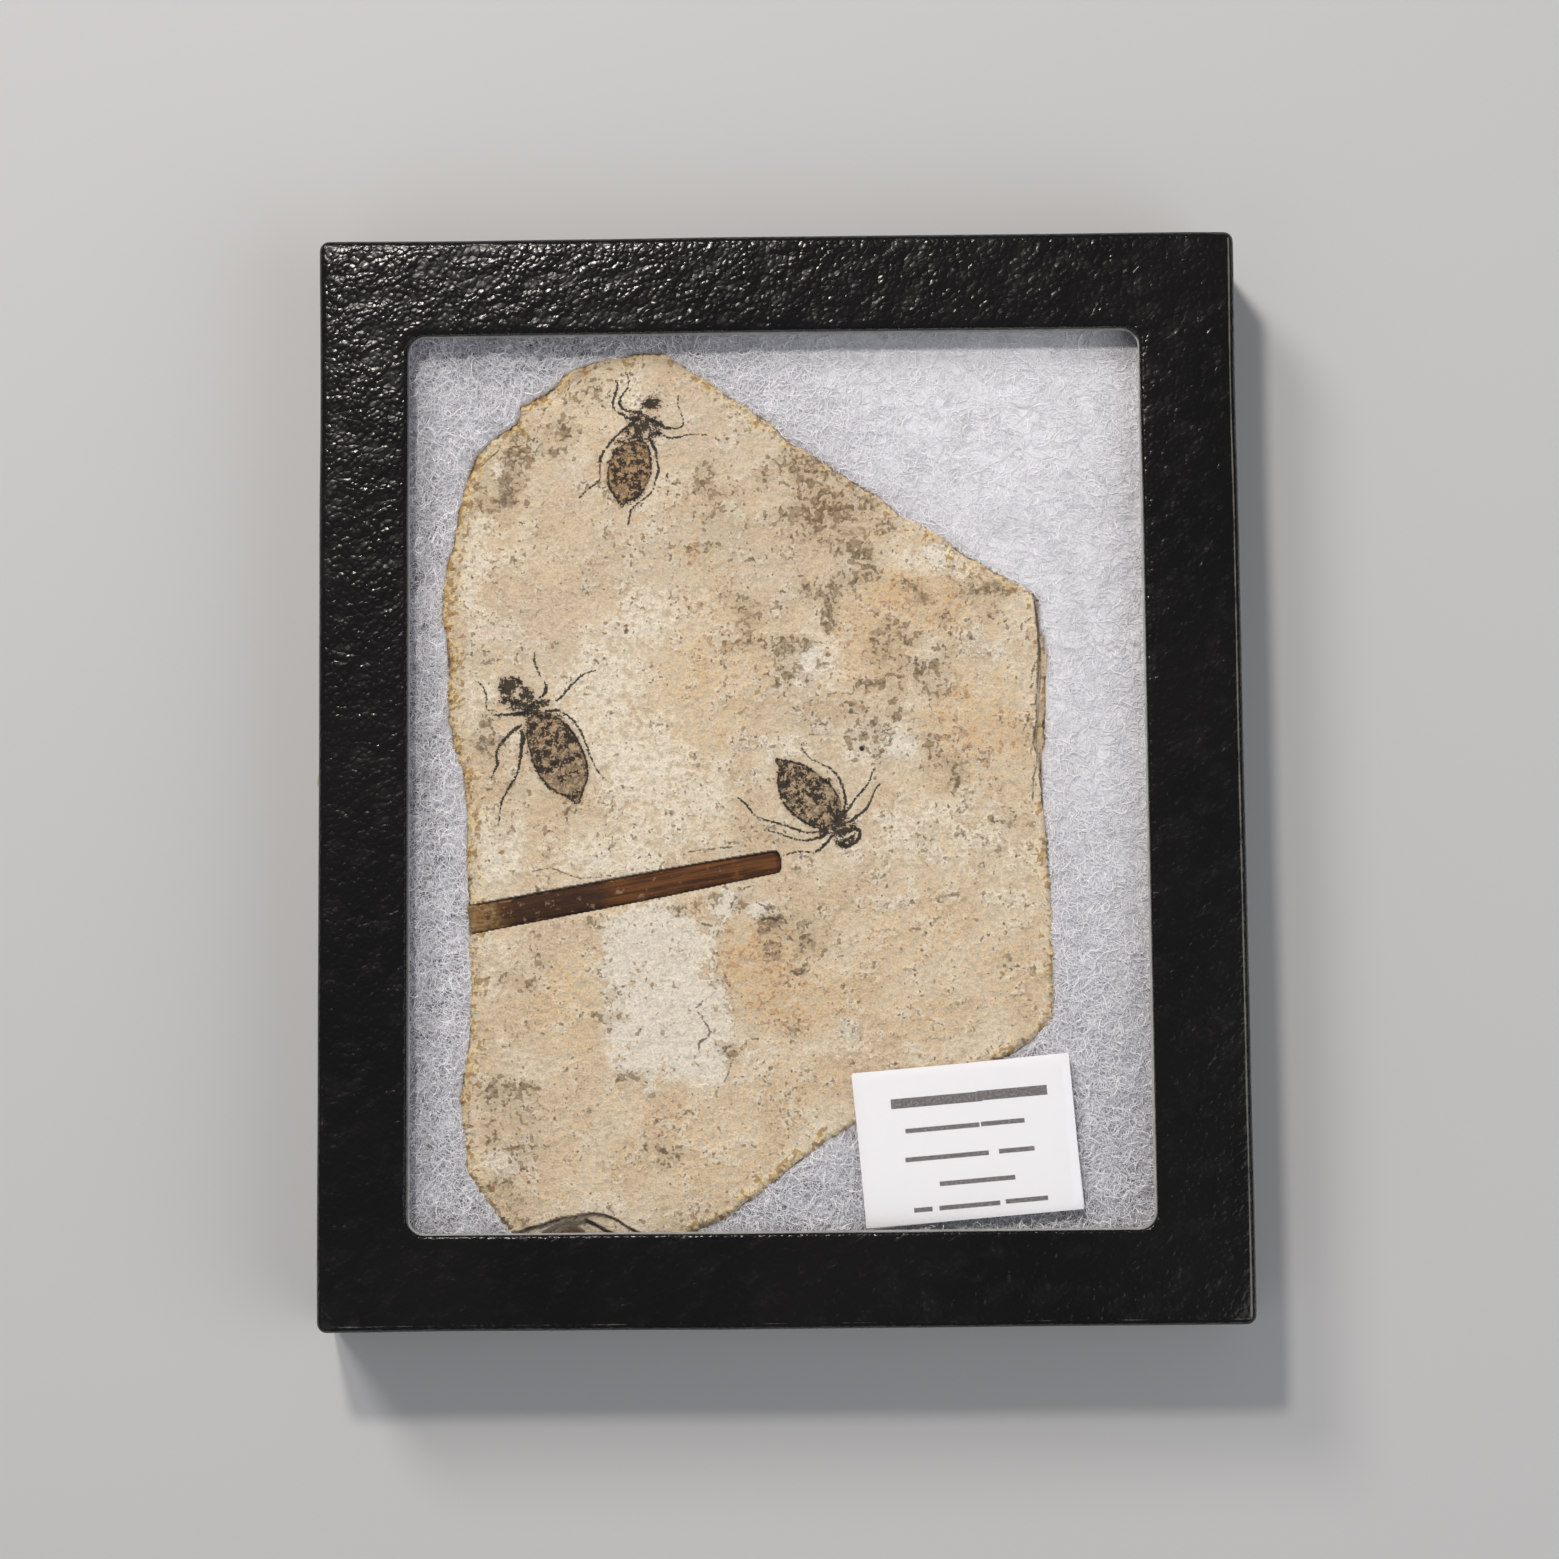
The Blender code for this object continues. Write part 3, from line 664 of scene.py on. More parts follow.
# Legs and feelers are strokes of (x, y, half width). Spots are ovals of (x, y, half width, half height).
larvae = {
    "upper": {
        "tint": 1.0,
        "strokes": [
            [(641, 413, 1.4), (634, 412.5, 1.4), (627, 411.5, 1.3), (622, 409, 1.3), (619.8, 405, 1.5),
             (620.5, 399, 1.2), (624, 393.5, 0.9), (628, 388.5, 0.9), (629, 382, 0.8), (628, 376.5, 0.7),
             (626, 373, 0.4)],
            [(634, 421, 1.6), (630, 419.5, 1.5), (626, 417.5, 1.4), (622, 414.5, 1.2), (616, 412, 0.5),
             (613.5, 408, 0.7), (613, 402, 0.9), (615, 396, 1.5), (617.5, 389, 1.2), (616.5, 383, 0.7),
             (615.5, 379, 0.4)],
            [(648, 419, 1.5), (653, 421, 1.8), (660, 424.5, 1.7), (665, 428.5, 1.4), (671, 429, 1.0),
             (676, 429, 0.8), (680, 428.5, 0.6), (683, 426, 0.6), (683.8, 422, 0.5), (682.5, 418, 0.5),
             (681, 413, 0.6), (680, 409, 0.4), (678.3, 407, 0.7), (677.8, 402, 0.4), (678.2, 397, 0.7)],
            [(657, 433, 1.0), (663, 435.5, 0.6), (668, 438.5, 1.2), (674, 438.7, 0.9), (680, 437.3, 0.8),
             (686, 435.5, 0.5), (694, 435, 0.4), (702, 435.3, 0.3), (708, 435, 0.2)],
            [(637, 420, 2.2), (630, 425.5, 1.9), (624, 430, 1.2), (617, 436, 1.1), (611, 442.5, 1.3),
             (606.5, 448.5, 1.2)],
            [(603.8, 452, 1.2), (600.8, 459, 1.3), (600, 468, 0.6), (599.8, 479, 0.6), (598.5, 481.5, 0.6),
             (592, 487, 0.7), (586, 491.5, 0.7), (580, 498, 0.5)],
            [(649, 438, 1.5), (653, 445, 1.9), (656, 452, 1.3), (657, 461, 0.8), (658.8, 469, 1.2),
             (657.5, 476, 1.3), (655, 482, 0.7), (653.5, 489, 0.6), (649.5, 495, 0.9), (643, 500, 0.7),
             (636, 505, 0.6), (631, 510, 0.8), (630, 516, 0.8), (629, 522, 0.6), (628, 526, 0.3)],
            [(654, 419, 0.7), (660, 416, 0.4)],
            [(640, 405, 0.4), (640, 412, 0.5)],
            [(643, 409, 0.4), (645, 404, 0.7), (650, 399, 0.6)],
            [(648, 447, 0.9), (650.5, 456, 1.2), (651, 464, 1.1), (650.5, 474, 0.8), (648, 483, 0.5)],
            [(607.5, 482, 0.7), (611, 491, 1.0), (616, 498, 1.2), (621, 506, 0.6)],
            [(622, 508, 0.4), (626, 502, 0.9), (634, 499, 1.2), (641, 494, 0.9)],
            [(667.5, 474, 0.7), (667, 478, 0.7), (666.4, 481, 0.5)],
            [(668, 490, 0.5), (667.6, 494.5, 0.6)],
        ],
        "belly": [(638, 440), (626, 443), (617, 448), (611.5, 458), (608, 468), (606.8, 478), (609, 487),
                  (613, 494), (618, 501), (622, 506), (628, 501.5), (636, 498), (642.5, 493), (646.5, 486),
                  (649.5, 478), (651, 469), (651, 459), (649, 450), (646, 443)],
        "spots": [
            (652, 404, 6.4, 5.6), (648, 405.5, 3.6, 3.2), (656, 402.5, 3.4, 4.4), (645, 425, 4.6, 5),
            (639, 432, 4.4, 4), (637, 419, 5.5, 3.2), (645, 418, 4.5, 2.4), (652, 421, 4.5, 3.4),
            (656, 425, 3.8, 3), (656, 433.5, 4.6, 3.4), (651, 430, 2.6, 2), (643, 430, 1.8, 3.4),
            (634, 438, 4.4, 2.6), (642, 439.5, 5, 2.4), (650, 438.5, 3.2, 2.4), (628, 432, 1.8, 4),
            (633, 425, 4, 3), (641.5, 447.5, 2.6, 1.8), (631, 444, 3, 1.2), (622, 443, 3, 1.2),
            (617, 453.5, 3.6, 3.4), (622, 450, 3, 2.2), (617, 461, 3.4, 2), (622, 464, 2.8, 1.8),
            (616, 470, 3.2, 5), (615.5, 479, 3, 5), (621, 482, 5, 2.6), (626, 478, 2, 4), (634, 454, 2, 3),
            (631.8, 462, 1.8, 4.2), (630.4, 468, 1.1, 3.4), (636, 475, 1.9, 4), (633.8, 483, 2.6, 5),
            (632, 489, 1.8, 2.4), (640, 463, 3.8, 2.4), (645, 467, 2.8, 2), (641, 471.5, 3.8, 2.4),
            (646, 474, 1.6, 2.4), (638, 486, 2.8, 3), (636, 494, 3.8, 2.6), (641, 491, 2, 2),
            (624, 501, 3.6, 1.8), (619, 498, 2.6, 2.4), (629, 499.5, 4, 1.3), (633, 447, 2, 3),
            (640, 455, 1.4, 1.4), (612, 465, 1.4, 3),
        ],
    },
    "left": {
        "tint": 0.45,
        "strokes": [
            [(530, 712, 1.5), (522, 713.5, 2.2), (516, 714.5, 2.2), (511, 715, 1.4), (505, 715.3, 1.2),
             (498, 715.5, 1.3), (494, 715, 0.6)],
            [(494, 715, 0.3), (490, 711.5, 0.4), (486.3, 709, 0.5), (486.5, 702, 0.5), (486.5, 696, 0.9),
             (485, 691, 0.9), (482.5, 686.5, 0.8), (480, 683.5, 0.7), (476, 681, 0.4)],
            [(521, 726, 1.6), (516, 729, 1.8), (510, 734, 1.7), (504, 740.5, 1.5), (500.5, 744.5, 0.9),
             (498, 749, 1.0), (496.5, 754, 1.2), (497.3, 761, 1.7), (497.5, 765.5, 1.2), (495, 770, 0.8),
             (492.5, 776, 0.6), (491, 780, 0.3)],
            [(521, 731, 1.5), (523.5, 738, 2.4), (522, 746, 2.0), (521, 755, 1.5), (519.5, 765, 1.3),
             (518, 772.5, 1.0), (515, 779, 0.9), (511, 785, 1.0), (508, 790, 1.0), (505, 796, 0.9),
             (502, 801, 1.0), (500.5, 808, 0.8), (499.5, 816, 0.7), (499, 823, 0.4)],
            [(535, 653, 0.4), (534.5, 660, 0.9), (536, 666, 0.9), (538.5, 672, 0.8), (541, 678.5, 0.5)],
            [(545, 682, 0.4), (546.3, 687, 1.5), (545.8, 692, 1.6), (543, 696, 1.2), (539, 698.5, 0.8),
             (533, 703, 0.8)],
            [(596, 671, 0.4), (590, 672, 0.7), (583, 675, 0.8), (577, 680, 0.9), (571, 685.5, 0.9),
             (567, 691, 1.1), (563, 696, 0.9), (557, 701, 0.7)],
            [(546, 711.5, 1.4), (556, 710.5, 1.2), (563, 713, 0.9), (569, 717, 1.0), (575, 722, 0.9),
             (580, 730, 0.9), (583.5, 737, 1.0), (587, 746, 0.9), (590, 755, 0.8), (593.5, 763, 0.6),
             (597, 770, 0.6), (601, 776, 0.5), (606, 780, 0.3)],
            [(527, 710, 1.4), (534, 704, 1.3), (541, 701.5, 1.3), (549, 700.5, 0.8)],
            [(503, 700, 1.2), (509, 701, 1.4), (514, 703, 1.6), (519, 703, 1.2)],
            [(514, 680, 0.5), (519, 680, 0.6), (522, 684, 0.6)],
            [(500, 683, 0.4), (500, 692, 0.5)],
            [(561, 720, 0.9), (568, 727, 1.5), (574, 736, 1.8), (580, 746, 1.2), (585, 757, 1.0),
             (587.6, 768, 1.1), (588, 776, 0.9), (585, 786, 0.8)],
            [(530, 756, 0.5), (535, 767, 0.9), (541, 778, 0.9), (549, 788, 1.1), (558, 793, 0.7),
             (567, 796.5, 0.9), (575, 803, 0.9)],
            [(584, 789, 0.7), (581, 796, 1.1), (579.5, 803, 0.7)],
            [(576, 793, 0.7), (573, 799, 0.7)],
        ],
        "belly": [(533, 714), (527, 722), (526, 735), (528, 746), (531, 757), (535, 768), (541, 778),
                  (548, 787.5), (556, 792.5), (566, 796.5), (573, 801), (576, 804.5), (579.5, 803),
                  (582, 796), (585.5, 786), (588.5, 777), (588.3, 767), (586, 757), (582.5, 748),
                  (578, 739.5), (573, 731.5), (567, 724.5), (560, 718.5), (551, 713.5), (542, 711.5)],
        "spots": [
            (506, 688, 6.2, 6.2), (512, 685.5, 5.4, 6), (508, 681.5, 5, 3), (519, 684, 3.4, 4),
            (505, 700.5, 4.2, 3.2), (517, 703, 5.4, 4.4), (523, 696.5, 4.2, 3.6), (527.5, 692, 3.4, 3.8),
            (530, 698, 3.2, 5), (512, 707, 3.2, 2.4), (525, 706, 3.6, 2.8), (528, 710, 6, 3.4),
            (535, 706.5, 6, 3.4), (542, 703.5, 5, 2.4), (532, 714, 6, 2.6), (524, 714, 3.6, 2.2),
            (541, 716.5, 6, 2.2), (552, 717, 5, 2.8), (533, 726.5, 6.4, 2.6), (527, 724.5, 2, 3.4),
            (545, 728, 3, 2.4), (551, 724.5, 3.4, 3.4), (530, 733, 2.6, 3.2), (557, 734, 3.6, 4.4),
            (563, 727, 3.6, 2.4), (569, 735, 4.4, 4), (574, 740, 3.4, 3.6), (546, 735, 4.4, 2.4),
            (550, 742, 3.6, 3.4), (556.5, 744, 2.4, 4.6), (564, 746.5, 5.4, 2), (534, 752, 4.6, 3.4),
            (540, 757, 3.6, 4.2), (547, 753.5, 4.2, 4.2), (534, 741.5, 4, 2), (541, 768.5, 5, 3.2),
            (549, 770.5, 4.4, 2.2), (556, 764, 4.2, 4.6), (561, 768, 2.4, 1.8), (571.5, 759.5, 5.4, 3.2),
            (578, 757, 3.4, 2.6), (568, 775, 3.4, 1.6), (575, 773.5, 2.6, 1.4), (539, 762, 2.2, 3.4),
            (565, 763, 4, 1.2), (579, 792, 3, 2.4), (570, 797, 3, 1.4), (586, 768, 1.4, 3),
            (562, 778, 1.6, 1.4), (553, 757, 2, 2),
        ],
    },
    "right": {
        "tint": 0.15,
        "strokes": [
            [(799, 743, 0.4), (803, 750, 0.5), (808, 757, 0.5), (815, 761.5, 0.5), (822, 764.5, 0.6),
             (829, 768, 1.0), (835, 773, 1.0), (840, 780, 1.1), (843, 788, 1.1), (845, 796, 1.5),
             (845.7, 804, 1.2), (843, 812, 1.2)],
            [(874, 770, 0.4), (871, 776, 0.5), (869, 782, 0.6), (865, 788, 1.0), (859, 795, 0.8),
             (854, 801, 1.1), (850, 807, 1.2), (846, 812, 1.4)],
            [(880, 784, 0.4), (875, 790, 0.5), (872, 797, 0.8), (870, 803, 1.0), (866, 809, 1.3),
             (860, 814, 1.2), (855, 818, 1.7), (850, 822, 1.4)],
            [(738, 798, 0.4), (744, 802.5, 1.0), (748, 807, 1.0), (752, 813, 0.7), (757, 817, 0.6),
             (765, 820, 0.7), (774, 822.5, 1.0), (783, 825, 0.6), (792, 828, 1.3), (800, 831, 1.1),
             (808, 833, 0.9), (818, 832, 0.9)],
            [(764, 830, 0.2), (772, 831.5, 0.4), (780, 834, 0.5), (788, 837, 0.6), (797, 840, 0.7),
             (805, 840.7, 0.8), (813, 839.5, 1.4), (820, 838, 1.3), (827, 834, 1.3)],
            [(782, 857, 0.3), (790, 853.5, 0.4), (798, 852, 0.7), (806, 852, 0.6), (814, 853, 0.9),
             (820, 849.5, 1.3), (825, 845, 1.5), (829, 840, 1.6), (832, 836, 1.4)],
            [(841, 845, 1.7), (846, 847, 2.0), (852, 845, 1.7), (857, 841.5, 1.6), (860, 836.5, 1.7),
             (859.5, 831, 1.9), (855, 828.5, 1.7), (850, 829, 1.4)],
            [(843, 838, 0.5), (846, 833.5, 0.5), (853, 831, 0.5)],
            [(843.5, 841.5, 1.7), (848, 840, 1.7), (853, 836, 1.3), (856, 833.5, 0.7)],
            [(836, 838, 0.7), (840, 844, 0.9)],
            [(832, 838, 0.5), (837, 845, 0.7)],
            [(783, 802.5, 0.8), (788, 809, 1.2), (797, 817, 1.1), (806, 823, 1.3), (815, 827.5, 1.0)],
            [(776, 759, 0.5), (784, 761, 0.9), (793, 762, 0.9), (802, 765, 1.0), (812, 770, 1.1)],
            [(776, 761.5, 0.7), (779, 766, 0.7)],
            [(820, 778, 1.3), (826, 781, 1.6), (831, 785.5, 1.3)],
            [(779.5, 770, 0.9), (777.8, 780, 0.9), (779, 790, 1.0), (781.5, 797.5, 1.2), (787, 796.5, 0.9)],
        ],
        "belly": [(776, 759), (784, 760.5), (793, 761.5), (801, 764.5), (808, 768), (815, 771.5),
                  (822, 777.5), (829, 783.5), (835, 790), (839.5, 797), (841.5, 804), (841, 812),
                  (838, 820), (831, 826), (824, 830.5), (814, 828), (805, 823), (796, 817), (788.5, 810),
                  (783, 803), (789, 800.5), (783, 799), (780.5, 796), (778, 789), (777, 781), (778.5, 772),
                  (778.5, 765)],
        "spots": [
            (785, 765, 4, 2.6), (782, 773.5, 2.8, 5), (780.5, 783, 2.4, 3.6), (786.5, 785.5, 3.4, 4.2),
            (784, 796, 3.4, 2.6), (790, 787, 1.8, 3.6), (794.5, 769.5, 2.8, 2.4), (801, 775.5, 3.8, 2.2),
            (797, 780, 2.6, 1.6), (807, 770.5, 4, 2), (812.5, 784, 5, 1.6), (808, 781, 3.6, 1.6),
            (817, 786, 3.4, 4.6), (813, 790, 3.8, 1.6), (820, 796.5, 5.4, 3.2), (816, 801, 3.6, 2.2),
            (803, 791.5, 3.6, 1.6), (797, 795, 2.6, 1.6), (799, 804, 2.4, 5.4), (803, 810.5, 3.4, 2.4),
            (807, 807, 1.4, 1.6), (812, 821.5, 3.8, 2.4), (815, 825, 3, 1.6), (829.5, 806.5, 2.6, 2.6),
            (831, 812, 2.6, 3), (826, 782, 4.6, 2.2), (836, 803, 1.6, 2.6), (838, 821, 5.4, 8.4),
            (836, 815, 5.2, 4.4), (843, 816, 3.8, 2.8), (834, 829, 5, 3.6), (825, 831, 5.6, 3.8),
            (845, 824, 4, 2.8), (851.5, 828, 3.8, 3), (839, 833, 5, 4.6), (845, 831, 4.5, 3.2),
            (842.5, 845, 3.0, 2.6), (851, 841, 2.0, 1.6), (823, 825, 2.4, 2), (788, 778, 1.6, 3),
            (808, 795, 3, 1.3), (821, 817, 1.4, 3), (793, 808, 1.2, 3), (837, 795, 1.4, 2.2),
            (795, 788, 2.4, 1.2),
        ],
    },
}

# Broken beds: (shape on the sheet, how far the face drops inside it in millimetres, how soft its step is)
brokenBeds = [
    ([(476, 472), (481, 466), (490, 457), (499, 449), (510, 446.5), (520, 447), (530, 442), (536, 435),
      (541, 424), (546, 409), (556, 402), (564, 398), (569, 386), (579, 381), (590, 372), (602, 367),
      (610, 364), (600, 340), (540, 360), (470, 430), (430, 480)], 0.55, 0.22),
    ([(1033, 588), (1034, 600), (1037, 625), (1038.5, 645), (1039.5, 665), (1037.5, 690), (1037, 715),
      (1034.5, 738), (1038, 755), (1040, 775), (1042, 800), (1046, 812), (1075, 800), (1075, 570),
      (1045, 575)], 1.5, 0.3),
    ([(513, 1234), (523, 1230), (532, 1227), (541, 1225.5), (548, 1223), (556, 1219.5), (570, 1217.5),
      (582, 1216), (592, 1213.5), (602, 1214.7), (612, 1217), (619, 1221), (626, 1226), (635, 1230.5),
      (642, 1234), (650, 1290), (500, 1290)], 0.75, 0.25),
    ([(538, 1236), (548, 1229), (556, 1224.5), (566, 1221.5), (578, 1221), (586, 1219), (592, 1222),
      (599, 1226), (608, 1231), (618, 1235), (618, 1290), (538, 1290)], 1.1, 0.3),
    ([(553, 1236), (560, 1229), (568, 1226), (576, 1227.5), (582, 1231), (587, 1236), (587, 1290),
      (553, 1290)], 3.2, 0.5),
    ([(1046, 716), (1043, 722), (1045, 731), (1048, 738), (1060, 735), (1060, 715)], 0.8, 0.3),
]
cracks = [
    [(481, 466, 0.5), (488, 459.5, 0.6), (495, 454, 0.7), (499, 450, 0.3)],
    [(533, 441, 0.2), (536, 436, 0.5), (538, 431, 0.6), (541, 426, 0.2)],
    [(510, 446, 0.3), (516, 447.5, 0.5), (523, 445, 0.4)],
    [(541, 420, 0.2), (545, 409, 0.5), (549, 407, 0.2)],
    [(564, 399, 0.2), (567, 393, 0.4), (570, 384, 0.4)],
    [(572, 391, 0.2), (578, 384, 0.5), (582, 380, 0.2)],
    [(479, 447, 0.3), (484, 442, 0.8), (487, 440, 0.5)],
    [(1033, 593, 0.8), (1035.5, 606, 1.3), (1036.5, 620, 1.3), (1038, 634, 0.8), (1039.5, 648, 1.9),
     (1038.5, 660, 1.3), (1038, 675, 1.2), (1036.5, 690, 0.7), (1036, 705, 0.6), (1036.5, 722, 0.7),
     (1034, 735, 1.2), (1033, 743, 0.8), (1037, 754, 0.6), (1036.5, 766, 0.7), (1033, 778, 0.6),
     (1032.5, 800, 0.7)],
    [(1035, 663, 0.4), (1032, 672, 0.7), (1031, 679, 0.4)],
    [(1033, 684, 0.4), (1031, 688, 0.9)],
    [(1035, 704, 1.2), (1035.5, 707, 0.8)],
    [(1040, 752, 0.5), (1041, 765, 0.5), (1039, 777, 0.7), (1042, 790, 0.9), (1041, 803, 0.6)],
    [(1044, 719, 0.8), (1044.5, 726, 1.5), (1047, 733, 0.8)],
    [(1026, 622, 0.3), (1030, 619, 0.7)],
    [(1022, 733, 0.2), (1027, 722, 0.5), (1029, 714, 0.3)],
    [(516, 1233, 0.5), (530, 1228, 0.9), (548, 1222.5, 1.5), (562, 1217.5, 1.6), (580, 1215, 1.2),
     (594, 1213, 1.1), (606, 1215.5, 0.9), (618, 1220.5, 0.9), (630, 1228, 0.9), (640, 1232.5, 0.5)],
    [(586, 1220, 1.6), (590, 1222.5, 2.0), (596, 1224.5, 0.9), (604, 1229.5, 0.7), (612, 1233, 0.5)],
    [(530, 872, 0.2), (551, 868, 0.3), (580, 879, 0.3), (600, 877, 0.3)],
    [(688, 852, 0.2), (700, 850.5, 0.3), (722, 848, 0.4), (732, 847.5, 0.3)],
    [(697, 921, 0.4), (702, 924, 0.8), (712, 926, 0.4)],
    [(703, 1001, 0.4), (700, 1005, 0.8), (696, 1008, 0.7)],
    [(697, 1012, 0.3), (702, 1016, 0.8), (703, 1020, 0.7), (708, 1026, 0.8), (710, 1032, 0.9),
     (708, 1037, 0.7), (702, 1041, 0.9), (699, 1044, 0.6), (699, 1052, 0.4)],
    [(686, 1058, 0.8), (690, 1059, 0.7), (698, 1057, 0.3)],
    [(723, 1054, 0.9), (727, 1047, 0.7), (731, 1046, 0.4)],
    [(725, 1081, 0.4), (728, 1074, 0.6), (731, 1064, 0.6), (733, 1060, 0.3)],
    [(742, 899, 0.3), (741, 892, 0.4), (745, 888, 0.4), (753, 886, 0.4)],
    [(733, 902, 0.6), (731, 907, 0.6), (735, 913, 0.4)],
    [(756, 902, 0.4), (763, 906, 0.5), (771, 907, 0.4), (773, 912, 0.5)],
    [(762, 920, 0.9), (770, 918, 1.0), (777, 920, 0.7), (779, 917, 1.0)],
    [(792, 971, 0.7), (797, 975, 1.3), (802, 973, 1.0), (805, 969, 0.5)],
    [(747, 1034, 0.3), (752, 1039, 0.7), (758, 1039, 0.4)],
]

